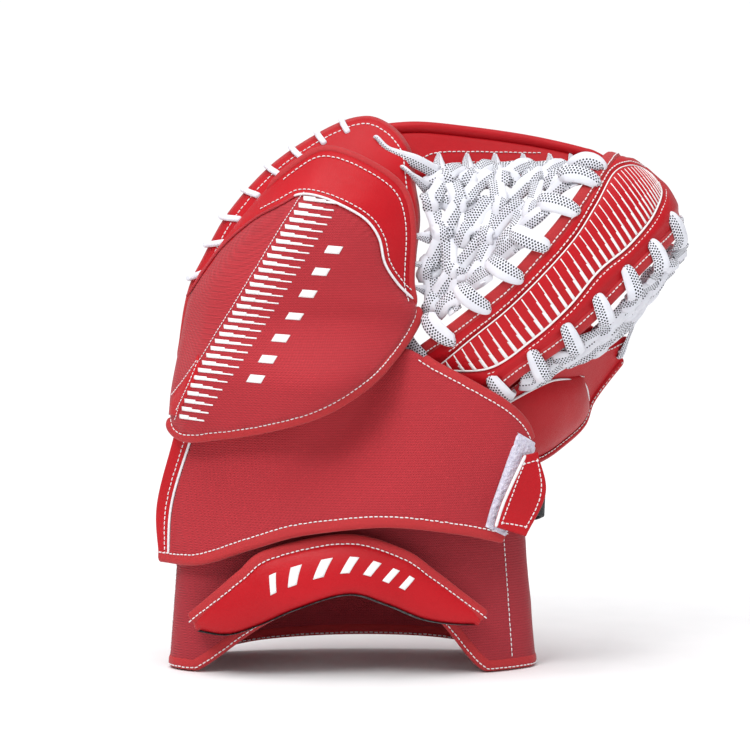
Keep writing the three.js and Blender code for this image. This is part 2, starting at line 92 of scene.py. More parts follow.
def curve(points, closed=False, lean=True):
    """A uniform Catmull-Rom curve through the points: at(t) for an array of t from 0 to 1."""
    pts = place(points) if lean else np.array(points, float)
    if not closed:
        pts = np.vstack([2 * pts[0] - pts[1], pts, 2 * pts[-1] - pts[-2]])
    spans = len(pts) if closed else len(pts) - 3

    def at(t):
        t = np.asarray(t, float)
        s = (t % 1.0 if closed else np.clip(t, 0, 1)) * spans
        i = np.minimum(s.astype(int), spans - 1)
        w = (s - i)[..., None]
        if closed:
            p0, p1, p2, p3 = (pts[(i + k) % spans] for k in (-1, 0, 1, 2))
        else:
            p0, p1, p2, p3 = (pts[i + k] for k in range(4))
        a, b = 0.5 * (p2 - p0), 0.5 * (p3 - p1)
        return p1 + w * (a + w * ((3 * (p2 - p1) - 2 * a - b) + w * (2 * (p1 - p2) + a + b)))

    return at


def arrays(*values):
    """The values as arrays of one shape."""
    return np.broadcast_arrays(*(np.asarray(k, float) for k in values))


def grid(u, v):
    return np.meshgrid(u, v, indexing="ij")


def mix(a, b, t):
    """Between a and b, by a share t for each point."""
    return a + (b - a) * np.asarray(t)[..., None]


def patch(bottom, top, left=None, right=None):
    """A surface between four edge curves; missing side edges are straight."""
    corners = [bottom(0.0), bottom(1.0), top(0.0), top(1.0)]
    left = left or (lambda v: mix(corners[0], corners[2], v))
    right = right or (lambda v: mix(corners[1], corners[3], v))

    def at(u, v):
        u, v = arrays(u, v)
        low, high = mix(corners[0], corners[1], u), mix(corners[2], corners[3], u)
        return mix(left(v), right(v), u) + mix(bottom(u), top(u), v) - mix(low, high, v)

    return at


def normals(surface, u, v, step=0.003):
    u, v = arrays(u, v)
    du = surface(np.minimum(u + step, 1), v) - surface(np.maximum(u - step, 0), v)
    dv = surface(u, np.minimum(v + step, 1)) - surface(u, np.maximum(v - step, 0))
    n = np.cross(du, dv)
    return n / np.maximum(np.linalg.norm(n, axis=-1, keepdims=True), 1e-9)


def on_line(surface, u, v, count):
    """Points on a surface, and its normals there, where u and v are each a number or a (start, end)."""
    a, b = (np.linspace(*k, count) if isinstance(k, tuple) else np.full(count, float(k)) for k in (u, v))
    return surface(a, b), normals(surface, a, b)


def unit(v):
    v = np.asarray(v, float)
    return v / np.maximum(np.linalg.norm(v, axis=-1, keepdims=True), 1e-9)


def smooth(t):
    t = np.clip(t, 0, 1)
    return t * t * (3 - 2 * t)


def lengths(path):
    return np.concatenate([[0], np.cumsum(np.linalg.norm(np.diff(path, axis=0), axis=1))])


def resample(path, extra, pitch):
    """Points at an even pitch along a path, and the values of extra (such as normals) there."""
    s = lengths(path)
    count = max(int(round(s[-1] / pitch)), 1)
    at = np.linspace(0, s[-1], count + 1)
    pick = lambda a: np.stack([np.interp(at, s, a[:, k]) for k in range(a.shape[1])], 1)
    return pick(path), pick(extra)


def seen(points):
    """(x, height on the leaning plane) of points in space, which is how they look square on."""
    return np.stack([points[..., 0], points[..., 2] + LEAN * points[..., 1]], -1)


def locate(surface, x, h):
    """The (u, v) of a surface that looks nearest to (x, height), and what is left over beyond its edges."""
    target = np.stack(arrays(x, h), -1)
    flat = target.reshape(-1, 2)
    gu, gv = (g.ravel() for g in grid(np.linspace(0, 1, 41), np.linspace(0, 1, 91)))
    spots = seen(surface(gu, gv))
    near = np.argmin(((flat[:, None] - spots[None]) ** 2).sum(-1), axis=1)
    u, v = gu[near], gv[near]
    for _ in range(6):
        (u0, u1), (v0, v1) = ((np.maximum(k - 0.002, 0), np.minimum(k + 0.002, 1)) for k in (u, v))
        du = (seen(surface(u1, v)) - seen(surface(u0, v))) / (u1 - u0)[:, None]
        dv = (seen(surface(u, v1)) - seen(surface(u, v0))) / (v1 - v0)[:, None]
        off = flat - seen(surface(u, v))
        det = du[:, 0] * dv[:, 1] - du[:, 1] * dv[:, 0]
        det = np.where(np.abs(det) < 1e-6, 1e-6, det)
        step_u = np.clip((off[:, 0] * dv[:, 1] - off[:, 1] * dv[:, 0]) / det, -0.1, 0.1)
        step_v = np.clip((du[:, 0] * off[:, 1] - du[:, 1] * off[:, 0]) / det, -0.1, 0.1)
        u, v = np.clip(u + step_u, 0, 1), np.clip(v + step_v, 0, 1)
    rest = flat - seen(surface(u, v))
    shape = target.shape[:-1]
    return u.reshape(shape), v.reshape(shape), rest.reshape(shape + (2,))


def on_surface(surface, x, h, lift=0.0):
    """Points on a surface that look to be at (x, height), lifted off it, and the normals there."""
    u, v, rest = locate(surface, x, h)
    n = normals(surface, u, v)
    points = surface(u, v) + n * np.asarray(lift, float)[..., None]
    points[..., 0] += rest[..., 0]
    points[..., 2] += rest[..., 1]
    return points, n


def flat_curve(points, count, start=0.0, end=1.0):
    """Even steps along a smooth curve through (x, height) points."""
    return curve([(x, 0, h) for x, h in points], lean=False)(np.linspace(start, end, count))[:, (0, 2)]


# ---------------------------------------------------------------- mesh making
class Batch:
    """Gathers closed bodies into one mesh."""

    def __init__(self):
        self.points, self.faces, self.uvs, self.count = [], [], [], 0

    def add(self, points, faces, uv=None):
        points = np.asarray(points, float).reshape(-1, 3)
        self.points.append(points)
        self.faces.extend([tuple(i + self.count for i in f) for f in faces])
        uv = np.zeros((len(points), 2)) if uv is None else np.asarray(uv, float)
        self.uvs.append(uv.reshape(-1, 2))
        self.count += len(points)

    def build(self, name, material, body, replaces=(), slot=None):
        return piece(name, np.concatenate(self.points), self.faces, material, body, replaces,
                     uv=np.concatenate(self.uvs))


def add_object(name, data):
    obj = bpy.data.objects.new(name, data)
    bpy.context.scene.collection.objects.link(obj)
    return obj


def piece(name, points, faces, material, body, replaces=(), uv=None, groups=None):
    """A smooth mesh object that rides on a body; a list of materials needs groups, a number for each face."""
    mesh = bpy.data.meshes.new(name)
    mesh.from_pydata(((np.asarray(points) - ORIGIN) * MM).tolist(), [], faces)
    mesh.polygons.foreach_set("use_smooth", np.ones(len(mesh.polygons), bool))
    if uv is not None:
        layer = mesh.uv_layers.new(name="UVMap")
        index = np.zeros(len(mesh.loops), int)
        mesh.loops.foreach_get("vertex_index", index)
        layer.data.foreach_set("uv", np.asarray(uv)[index].ravel())
    mesh.validate()
    for m in material if isinstance(material, list) else [material]:
        mesh.materials.append(m)
    if groups is not None:
        mesh.polygons.foreach_set("material_index", groups)
    obj = add_object(name, mesh)
    fix_outward(mesh)
    if body:
        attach(obj, body)
    if replaces:
        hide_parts(*replaces)
    return obj


def fix_outward(mesh):
    """Turns the faces outward where the mesh's volume comes out negative."""
    mesh.calc_loop_triangles()
    tri = np.zeros(len(mesh.loop_triangles) * 3, int)
    mesh.loop_triangles.foreach_get("vertices", tri)
    co = np.zeros(len(mesh.vertices) * 3)
    mesh.vertices.foreach_get("co", co)
    a, b, c = (co.reshape(-1, 3)[tri.reshape(-1, 3)[:, k]] for k in range(3))
    if np.einsum("ij,ij->", a, np.cross(b, c)) < 0:
        mesh.flip_normals()


def grid_faces(m, n, start=0, wrap_n=False):
    """Quads of an m by n grid whose points start at a given number."""
    cols = range(n if wrap_n else n - 1)
    return [
        (row + j, row + n + j, row + n + (j + 1) % n, row + (j + 1) % n)
        for row in range(start, start + (m - 1) * n, n) for j in cols
    ]


def closed_slab(outer, inner):
    """Points and faces of a closed body from two facing grids that share a size."""
    m, n = outer.shape[:2]
    faces = grid_faces(m, n) + [f[::-1] for f in grid_faces(m, n, m * n)]
    ring = [(i, 0) for i in range(m)] + [(m - 1, j) for j in range(1, n)]
    ring += [(i, n - 1) for i in range(m - 2, -1, -1)] + [(0, j) for j in range(n - 2, 0, -1)]
    index = [i * n + j for i, j in ring]
    for a, b in zip(index, index[1:] + index[:1]):
        faces.append((b, a, a + m * n, b + m * n))
    return np.concatenate([outer.reshape(-1, 3), inner.reshape(-1, 3)]), faces


def surface_slab(surface, x, h, outer, inner):
    """A thin closed body over part of a surface, between two lifts."""
    return closed_slab(on_surface(surface, x, h, outer)[0], on_surface(surface, x, h, inner)[0])


def ticks(length, radius, pitch):
    """Shares of a length, closely spaced over the rounded edge at both ends."""
    radius = min(radius, length * 0.45)
    edge = radius * (1 - np.cos(np.linspace(0, np.pi / 2, 6)))
    inside = np.linspace(radius, length - radius, max(int((length - 2 * radius) / pitch), 2) + 1)[1:-1]
    return np.concatenate([edge, inside, length - edge[::-1]]) / length


def panel_grid(surface, u, v, low, high, radius, pitch, relief=None):
    """Near and far grids of a slab over part of a surface, with rounded edges.

    high is a height or a function of the shares along and across; relief adds to it by place and inset.
    """
    middle_u, middle_v = (u[0] + u[1]) / 2, (v[0] + v[1]) / 2
    line = np.linspace(0, 1, 25)
    long_u = max(lengths(surface(u[0] + (u[1] - u[0]) * line, k))[-1] for k in (v[0], middle_v, v[1]))
    long_v = max(lengths(surface(k, v[0] + (v[1] - v[0]) * line))[-1] for k in (u[0], middle_u, u[1]))
    s, t = grid(ticks(long_u, radius, pitch), ticks(long_v, radius, pitch))
    a, b = u[0] + s * (u[1] - u[0]), v[0] + t * (v[1] - v[0])
    mid, n = surface(a, b), normals(surface, a, b)
    top = high(s, t) if callable(high) else high
    du, dv = np.minimum(s, 1 - s) * long_u, np.minimum(t, 1 - t) * long_v
    round_off = lambda d: np.sqrt(np.clip(1 - np.clip(1 - d / radius, 0, 1) ** 2, 0, 1))
    edge = np.minimum(round_off(du), round_off(dv)) * 0.94 + 0.06
    centre, half = (low + top) / 2, (top - low) / 2 * edge
    near = centre + half
    if relief is not None:
        near = near + relief(a, b, np.minimum(du, dv))
    return mid + n * near[..., None], mid + n * (centre - half)[..., None]


def panel(name, surface, body, material, u=(0, 1), v=(0, 1), low=-3, high=3, radius=None, pitch=3.0,
          relief=None, replaces=()):
    """A slab piece over part of a surface; its edges are half round unless a radius is given."""
    radius = radius or ((3 if callable(high) else high) - low) / 2
    near, far = panel_grid(surface, u, v, low, high, radius, pitch, relief)
    points, faces = closed_slab(near, far)
    return piece(name, points, faces, material, body, replaces)


def frames(path, up):
    """Tangent, side and up vectors along a path."""
    tangent = unit(np.gradient(path, axis=0))
    side = unit(np.cross(tangent, up))
    return tangent, side, np.cross(side, tangent)


def sweep_body(path, up, section, scale):
    """A closed tube: section is a ring of (side, up) offsets, scaled by a (side, up) pair at each step."""
    path, section = np.asarray(path, float), np.asarray(section, float)
    up = np.broadcast_to(np.asarray(up, float), path.shape)
    _, side, high = frames(path, up)
    size = np.broadcast_to(np.asarray(scale, float), (len(path), 2))
    rings = (path[:, None] + side[:, None] * (section[:, 0] * size[:, :1])[..., None]
             + high[:, None] * (section[:, 1] * size[:, 1:])[..., None])
    n, k = rings.shape[:2]
    points = np.vstack([rings.reshape(-1, 3), path[0], path[-1]])
    faces = grid_faces(n, k, wrap_n=True)
    for j in range(k):
        faces.append((j, (j + 1) % k, n * k))
        faces.append(((n - 1) * k + (j + 1) % k, (n - 1) * k + j, n * k + 1))
    return points, faces


def oval(width, height, sides=10, power=2.0):
    """A ring of (side, up) offsets; a power over 2 squares it off."""
    angle = np.linspace(0, 2 * np.pi, sides, endpoint=False)
    c, s = np.cos(angle), np.sin(angle)
    bend = lambda x: np.sign(x) * np.abs(x) ** (2 / power)
    return np.stack([bend(c) * width / 2, bend(s) * height / 2], 1)


def sweep(name, path, up, section, material, body, replaces=(), ends=3):
    """A tube whose first and last rings, as many as ends says, round it off."""
    points, faces = sweep_body(path, up, section, taper(len(path), ends))
    return piece(name, points, faces, material, body, replaces)


def taper(count, ends):
    """A scale that rounds off both ends of a sweep."""
    s = np.ones(count)
    for i in range(min(ends, count // 2)):
        s[i] = s[-1 - i] = math.sqrt(1 - (1 - (i + 0.35) / ends) ** 2)
    return np.stack([s, s], 1)


STITCH_PITCH = 3.5
STITCH_LENGTH = 2.5
STITCH_RADIUS = 0.42
STITCH_RISE = 0.25
STITCH_ALONG = np.array([-0.5, -0.36, 0.0, 0.36, 0.5])
STITCH_BUMP = np.array([-0.75, 0.75, 1.0, 0.75, -0.75])
STITCH_TAPER = np.array([0.5, 1, 1, 1, 0.5])[:, None] * np.ones(2)


def stitch_row(body, path, up, pitch=STITCH_PITCH, length=STITCH_LENGTH, radius=STITCH_RADIUS):
    """A row of short threads that lie along a path and dip into the surface at their ends."""
    points, lift = resample(np.asarray(path, float), np.broadcast_to(up, np.shape(path)), pitch)
    section = oval(2 * radius, 1.7 * radius, 6)
    tangent = unit(np.gradient(points, axis=0))
    for p, n, t in zip(points, unit(lift), tangent):
        wander = np.cross(t, n) * rng.normal(0, 0.09)
        line = p + wander + t * (STITCH_ALONG * length)[:, None] + n * (STITCH_RISE * STITCH_BUMP)[:, None]
        stitches[body].add(*sweep_body(line, n, section, STITCH_TAPER))


def ribbon_body(path, up, width, thickness=1.0, twist=None, sides=5, cup=0.0):
    """A flat lace: points, faces and UVs, u along it in millimetres and v across it from -0.5 to 0.5."""
    path = np.asarray(path, float)
    n = len(path)
    width = np.broadcast_to(np.asarray(width, float), n)
    _, side, high = frames(path, np.broadcast_to(np.asarray(up, float), path.shape))
    if twist is not None:
        c, s = np.cos(twist)[:, None], np.sin(twist)[:, None]
        side, high = side * c + high * s, high * c - side * s
    across = np.linspace(-0.5, 0.5, sides)
    crown = thickness / 2 * (1 - (2 * across) ** 4 * 0.8)
    bow = cup * (1 - (2 * across) ** 2)
    v = np.concatenate([across, across[::-1]])
    offset = np.concatenate([bow + crown, (bow - crown)[::-1]])
    rings = (path[:, None] + side[:, None] * (v * width[:, None])[..., None]
             + high[:, None] * offset[None, :, None])
    k = len(v)
    points, faces = rings.reshape(-1, 3), grid_faces(n, k, wrap_n=True)
    faces += [tuple(range(k)), tuple(range((n - 1) * k + k - 1, (n - 1) * k - 1, -1))]
    along = lengths(path)
    uv = np.stack([np.repeat(along, k), np.tile(v, n)], 1)
    return points, faces, uv


def spline(points, count):
    """A smooth path of count points through a few points in millimetres."""
    return curve(points, lean=False)(np.linspace(0, 1, count))


# ---------------------------------------------------------------- materials
class Nodes:
    """A material's node tree, with short calls to add and link nodes."""

    def __init__(self, name):
        self.material = bpy.data.materials.new(name)
        self.material.use_nodes = True
        self.tree = self.material.node_tree
        self.bsdf = self.tree.nodes["Principled BSDF"]
        self.coords = self.add("ShaderNodeTexCoord").outputs["Object"]

    def add(self, kind, inputs=None, **settings):
        node = self.tree.nodes.new(kind)
        for key, value in settings.items():
            setattr(node, key, value)
        self.fill(node, inputs or {})
        return node

    def fill(self, node, inputs):
        """Links sockets, and sets constants, to a node's inputs."""
        for key, value in inputs.items():
            if isinstance(value, bpy.types.NodeSocket):
                self.tree.links.new(value, node.inputs[key])
            elif value is not None:
                node.inputs[key].default_value = value

    def plus(self, a, b):
        return self.math("ADD", a, b)

    def times(self, a, b):
        return self.math("MULTIPLY", a, b)

    def math(self, operation, a, b=0.0, c=0.0):
        return self.add("ShaderNodeMath", {0: a, 1: b, 2: c}, operation=operation).outputs[0]

    def noise(self, scale, detail=3.0, rough=0.5):
        inputs = {"Vector": self.coords, "Scale": scale, "Detail": detail, "Roughness": rough}
        return self.add("ShaderNodeTexNoise", inputs).outputs["Fac"]

    def cells(self, scale, randomness=1.0, **settings):
        inputs = {"Vector": self.coords, "Scale": scale, "Randomness": randomness}
        return self.add("ShaderNodeTexVoronoi", inputs, **settings).outputs["Distance"]

    def ramp(self, value, low=0.3, high=0.7, out_low=0.0, out_high=1.0):
        return self.add("ShaderNodeMapRange", {0: value, 1: low, 2: high, 3: out_low, 4: out_high}).outputs[0]

    def blend(self, factor, a, b):
        return self.add("ShaderNodeMix", {0: factor, 6: a, 7: b}, data_type="RGBA").outputs[2]

    def bump(self, height, strength, distance, normal=None):
        inputs = {"Height": height, "Strength": strength, "Distance": distance, "Normal": normal}
        return self.add("ShaderNodeBump", inputs).outputs["Normal"]

    def finish(self, colour, roughness, normal=None, **constants):
        self.fill(self.bsdf, {"Base Color": colour, "Roughness": roughness, "Normal": normal})
        self.fill(self.bsdf, {key.replace("_", " "): value for key, value in constants.items()})
        return self.material


def shade(colour, by):
    return tuple(c * by for c in colour[:3]) + (1.0,)


def leather(name, colour, rough=0.4, grain=0.5, creases=0.35):
    m = Nodes(name)
    cells = m.cells(800.0, feature="DISTANCE_TO_EDGE")
    pores = m.noise(1500.0, 2.0)
    folds = m.noise(70.0, 5.0, 0.6)
    height = m.plus(m.ramp(cells, 0.0, 0.22), m.times(pores, 0.6))
    fine = m.bump(height, grain, 0.00012)
    normal = m.bump(folds, creases, 0.0007, fine)
    broad = m.noise(11.0, 2.0)
    tone = m.blend(m.ramp(broad), shade(colour, 0.86), shade(colour, 1.06))
    dusty = m.blend(m.ramp(m.noise(240.0, 4.0), 0.5, 0.95, 0.0, 0.35), tone, shade(colour, 0.72))
    roughness = m.plus(m.ramp(folds, 0.3, 0.7, rough - 0.05, rough + 0.07),
                       m.ramp(pores, 0.3, 0.7, -0.04, 0.04))
    return m.finish(dusty, roughness, normal, Specular_IOR_Level=0.2, Coat_Weight=0.015, Coat_Roughness=0.3)


def weave(name, colour, pitch=1.8, rough=0.74, depth=0.55):
    """A woven fabric: ribs one way and another, with thread by thread variation."""
    m = Nodes(name)
    x, y, z = m.add("ShaderNodeSeparateXYZ", {0: m.coords}).outputs
    across = m.plus(x, m.times(y, 0.83))
    turns = 2 * math.pi / (pitch * MM)
    warp = m.math("SINE", m.times(across, turns))
    weft = m.math("SINE", m.times(z, turns))
    check = m.times(warp, weft)
    ribs = m.plus(m.times(check, 0.7), m.times(weft, 0.45))
    fibres = m.noise(2600.0, 2.0)
    height = m.plus(ribs, m.times(fibres, 0.8))
    soft = m.noise(55.0, 4.0)
    normal = m.bump(soft, 0.25, 0.0008, m.bump(height, depth, 0.0003))
    broad = m.blend(m.ramp(m.noise(14.0, 3.0)), shade(colour, 0.88), shade(colour, 1.08))
    tone = m.blend(m.ramp(ribs, -1.0, 1.0, 0.0, 0.75), shade(colour, 0.58), broad)
    flecks = m.blend(m.ramp(m.noise(900.0, 2.0), 0.6, 0.8, 0.0, 0.4), tone, shade(colour, 1.5))
    roughness = m.ramp(fibres, 0.3, 0.7, rough - 0.08, rough + 0.1)
    return m.finish(flecks, roughness, normal, Sheen_Weight=0.12, Sheen_Roughness=0.4,
                    Specular_IOR_Level=0.35)


DOT_PITCH = 2.1
DOT_ROW = 1.5
DOT_RADIUS = 0.6


def lace_material():
    """White flat lace: a fine braid, with staggered rows of small dark dots on one half of its width."""
    m = Nodes("lace_white_dotted")
    uv = m.add("ShaderNodeUVMap", uv_map="UVMap").outputs[0]
    along, across, _ = m.add("ShaderNodeSeparateXYZ", {0: uv}).outputs
    row = m.times(m.plus(across, 0.5), 7.0)
    odd = m.times(m.math("FLOOR", m.math("MODULO", row, 2.0)), 0.5)
    spot = m.plus(m.math("DIVIDE", along, DOT_PITCH), odd)
    dx = m.times(m.math("SUBTRACT", m.math("FRACT", spot), 0.5), DOT_PITCH)
    dy = m.times(m.math("SUBTRACT", m.math("FRACT", row), 0.5), DOT_ROW)
    square = lambda k: m.math("POWER", m.math("ABSOLUTE", k), 2.0)
    reach = m.math("SQRT", m.plus(square(dx), square(dy)))
    dots = m.math("LESS_THAN", reach, DOT_RADIUS)
    band = m.times(m.math("GREATER_THAN", across, -0.07), m.math("LESS_THAN", across, 0.49))
    mask = m.times(dots, band)
    braid = m.times(m.math("SINE", m.times(along, 9.5)), m.math("SINE", m.times(across, 62.0)))
    fibres = m.noise(2200.0, 2.0)
    normal = m.bump(m.plus(braid, fibres), 0.55, 0.0002)
    broad = m.ramp(m.noise(60.0, 2.0))
    white = m.blend(broad, (0.76, 0.77, 0.83, 1), (0.85, 0.86, 0.91, 1))
    thread = m.blend(m.ramp(braid, -1.0, 1.0, 0.0, 0.35), white, (0.62, 0.63, 0.71, 1))
    colour = m.blend(mask, thread, (0.012, 0.012, 0.02, 1))
    return m.finish(colour, m.ramp(fibres, 0.3, 0.7, 0.66, 0.84), normal, Sheen_Weight=0.15,
                    Specular_IOR_Level=0.3)


def thread_material(name, colour, rough=0.6):
    m = Nodes(name)
    twist = m.noise(3800.0, 2.0)
    tone = m.blend(m.ramp(m.noise(500.0, 2.0), 0.35, 0.7), shade(colour, 0.86), colour)
    return m.finish(tone, m.ramp(twist, 0.3, 0.7, rough - 0.1, rough + 0.12), m.bump(twist, 0.5, 0.00015))


def print_material():
    """Screen-printed white: slightly rubbery, with the weave showing through a little."""
    m = Nodes("print_white")
    grain = m.noise(1400.0, 3.0)
    worn = m.ramp(m.noise(160.0, 5.0, 0.7), 0.62, 0.8, 0.0, 0.35)
    tone = m.blend(worn, (0.84, 0.83, 0.83, 1), (0.66, 0.42, 0.42, 1))
    return m.finish(tone, m.ramp(grain, 0.3, 0.7, 0.42, 0.6), m.bump(grain, 0.35, 0.00015))


def loop_material():
    m = Nodes("loop_pile_white")
    pile = m.cells(1100.0)
    clumps = m.noise(420.0, 5.0, 0.7)
    height = m.plus(m.times(pile, 0.8), clumps)
    tone = m.blend(m.ramp(clumps, 0.35, 0.65), (0.5, 0.47, 0.6, 1), (0.78, 0.76, 0.86, 1))
    return m.finish(tone, m.ramp(pile, 0.0, 0.6, 0.85, 1.0), m.bump(height, 0.9, 0.0006), Sheen_Weight=0.5,
                    Sheen_Roughness=0.5, Specular_IOR_Level=0.15)


def mesh_material():
    """Black lining with a hexagonal mesh pressed into it."""
    m = Nodes("liner_hex_mesh")
    cells = m.cells(230.0, 0.15, feature="DISTANCE_TO_EDGE")
    walls = m.ramp(cells, 0.03, 0.16)
    fuzz = m.noise(1800.0, 3.0)
    tone = m.blend(walls, (0.035, 0.035, 0.04, 1), (0.006, 0.006, 0.008, 1))
    height = m.plus(m.times(walls, -1.0), m.times(fuzz, 0.25))
    return m.finish(tone, m.ramp(fuzz, 0.3, 0.7, 0.6, 0.85), m.bump(height, 0.9, 0.0012), Sheen_Weight=0.2)


def elastic_material():
    m = Nodes("elastic_black")
    z = m.add("ShaderNodeSeparateXYZ", {0: m.coords}).outputs[2]
    ribs = m.math("SINE", m.times(z, 2 * math.pi / (1.1 * MM)))
    fuzz = m.noise(1500.0, 3.0)
    tone = m.blend(m.ramp(ribs, -1.0, 1.0), (0.008, 0.008, 0.009, 1), (0.03, 0.03, 0.034, 1))
    return m.finish(tone, m.ramp(fuzz, 0.3, 0.7, 0.6, 0.85), m.bump(m.plus(ribs, fuzz), 0.5, 0.0003))


def board_material():
    m = Nodes("stiffener_board")
    grain = m.noise(300.0, 4.0)
    tone = m.blend(m.ramp(grain, 0.35, 0.7), (0.6, 0.57, 0.5, 1), (0.74, 0.71, 0.64, 1))
    return m.finish(tone, m.ramp(grain, 0.3, 0.7, 0.5, 0.7), m.bump(grain, 0.3, 0.0003))


RED = (0.47, 0.006, 0.012, 1)
LEATHER = leather("leather_red", RED)
PALM = leather("leather_palm_red", (0.5, 0.016, 0.024, 1), rough=0.5, grain=0.7, creases=0.5)
FABRIC = weave("fabric_red", (0.52, 0.024, 0.036, 1))
CUFF_FABRIC = weave("fabric_red_cuff", (0.44, 0.024, 0.038, 1))
TAPE = weave("binding_red", (0.6, 0.026, 0.032, 1), pitch=0.9, rough=0.66, depth=0.45)
LACE = lace_material()
THREAD = thread_material("thread_white", (0.86, 0.84, 0.85, 1))
CORD = thread_material("cord_white", (0.82, 0.83, 0.9, 1), rough=0.7)
PIPING = thread_material("piping_white", (0.84, 0.83, 0.85, 1), rough=0.45)
PRINT = print_material()
LOOP = loop_material()
MESH = mesh_material()
ELASTIC = elastic_material()
BOARD = board_material()


# ---------------------------------------------------------------- stage
def make_stage():
    """A wide, pale, plain floor."""
    points = [(FLOOR_REACH * a, FLOOR_REACH * b, FLOOR_Z) for a, b in ((-1, -1), (1, -1), (1, 1), (-1, 1))]
    mesh = bpy.data.meshes.new("floor")
    mesh.from_pydata(points, [], [(0, 1, 2, 3)])
    m = Nodes("floor_pale")
    grain = m.noise(30.0, 3.0)
    tone = m.blend(m.ramp(grain), (0.885, 0.885, 0.89, 1), (0.905, 0.905, 0.91, 1))
    mesh.materials.append(m.finish(tone, m.ramp(grain, 0.3, 0.7, 0.7, 0.8)))
    floor = add_object("floor", mesh)


def area_light(name, position, target, size, power):
    data = bpy.data.lights.new(name, "AREA")
    data.shape = "RECTANGLE"
    data.size, data.size_y = size
    data.energy = power
    lamp = add_object(name, data)
    lamp.location = position
    lamp.rotation_euler = (Vector(target) - Vector(position)).to_track_quat("-Z", "Y").to_euler()


def make_lights():
    middle = (0, 0, 0.2)
    area_light("key", (-0.75, -1.15, 1.45), middle, (0.55, 0.55), KEY_POWER)
    area_light("fill", (1.7, -1.6, 0.6), middle, (1.2, 1.2), FILL_POWER)
    data = bpy.data.lights.new("sky", "SUN")
    data.energy = SKY_POWER
    data.angle = math.radians(70)
    add_object("sky", data).rotation_euler = (math.radians(14), math.radians(-4), 0)
    world = bpy.data.worlds.new("studio")
    world.use_nodes = True
    world.node_tree.nodes["Background"].inputs[0].default_value = (0.97, 0.98, 1.0, 1)
    world.node_tree.nodes["Background"].inputs[1].default_value = WORLD_POWER
    bpy.context.scene.world = world


def make_camera():
    """Square on to the back of the hand, a little above, from far enough to look nearly flat."""
    aim = Vector((-0.032, 0.0, 0.2025))
    data = bpy.data.cameras.new("camera")
    data.sensor_width = 36
    data.lens = data.sensor_width * CAMERA_DISTANCE / CAMERA_SPAN
    camera = add_object("camera", data)
    back = Vector((0, -math.cos(CAMERA_RISE), math.sin(CAMERA_RISE)))
    camera.location = aim + back * CAMERA_DISTANCE
    camera.rotation_euler = (-back).to_track_quat("-Z", "Y").to_euler()
    bpy.context.scene.camera = camera
    bpy.context.scene.view_settings.view_transform = "Standard"


make_camera()
make_stage()
make_lights()
stitches = {body: Batch() for body in frame["bodies"]}


def keep_cad(node, material):
    """A smoothed copy of a plain inner CAD piece, which takes its place."""
    source = frame["nodes"][node]
    obj = add_object(node + "_soft", source.data.copy())
    obj.data.materials.clear()
    obj.data.materials.append(material)
    obj.data.polygons.foreach_set("use_smooth", np.ones(len(obj.data.polygons), bool))
    weld = obj.modifiers.new("weld", "WELD")
    weld.merge_threshold = 0.00002
    join = obj.modifiers.new("planar", "DECIMATE")
    join.decimate_type = "DISSOLVE"
    join.angle_limit = math.radians(1.0)
    bevel = obj.modifiers.new("bevel", "BEVEL")
    bevel.width, bevel.segments, bevel.limit_method = 0.0006, 2, "ANGLE"
    bevel.angle_limit = math.radians(50)
    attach(obj, source["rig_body"])
    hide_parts(node)


# ---------------------------------------------------------------- finger section
MIDDLE = np.array([-86.0, 262.0])
SHELL_MIDDLE_Y = -24.0
SHELL_HALF = 3.5
PALM_ROOM = 26.6
PAD_CLEARANCE = 1.6
SHELL_RIM = [
    (-42, 22, 384), (-24, 17, 380), (-10, 8, 364), (-6, -2, 340), (-2, -9, 316), (-4, -16, 288),
    (-5, -20, 258), (-10, -24, 226), (-34, -30, 196), (-84, -32, 184), (-138, -26, 180), (-167, -12, 192),
    (-166, -3, 230), (-161, 3, 262), (-151, 7, 285), (-133, 10, 317), (-104, 13, 349), (-72, 17, 371),
]
DOME_RIM = [
    (-64, 363), (-37, 354), (-12, 336), (-4, 310), (-5, 268), (-2, 244), (-22, 213), (-43, 193), (-71, 177),
    (-107, 167), (-139, 162), (-166, 161), (-175, 178), (-169, 220), (-160, 263), (-145, 288), (-110, 331),
    (-84, 354),
]
shell_rim = curve(SHELL_RIM, closed=True, lean=False)
dome_rim = curve([(x, 0, h) for x, h in DOME_RIM], closed=True, lean=False)


def polar(x, h):
    """The turn about the finger section's middle, and the distance from it."""
    dx, dh = x - MIDDLE[0], h - MIDDLE[1]
    return np.arctan2(dh, dx) % (2 * np.pi), np.hypot(dx, dh)


def rim_table(rim):
    """Turn, distance and y of a closed rim's points, in the order of their turn."""
    points = rim(np.arange(1440) / 1440)
    turn, reach = polar(points[:, 0], points[:, 2])
    order = np.argsort(turn)
    return turn[order], reach[order], points[order, 1]


shell_turns, shell_reaches, shell_ys = rim_table(shell_rim)
dome_turns, dome_reaches, _ = rim_table(dome_rim)


def shell_depth(x, h):
    """Y of the shell's middle surface at a point: flat in the middle, curling out to the rim."""
    turn, out = polar(x, h)
    reach, rim = (np.interp(turn, shell_turns, k, period=2 * np.pi) for k in (shell_reaches, shell_ys))
    return SHELL_MIDDLE_Y + (rim - SHELL_MIDDLE_Y) * (out / reach) ** 3


def lip_lift(x, h):
    middle = np.exp(-(((x + 56) / 64) ** 2))
    return (7 + 31 * middle) * smooth((246 - h) / 55)


RIDGE = [(-72, 336), (-83, 322), (-105, 287), (-149, 214), (-160, 192), (-168, 170)]


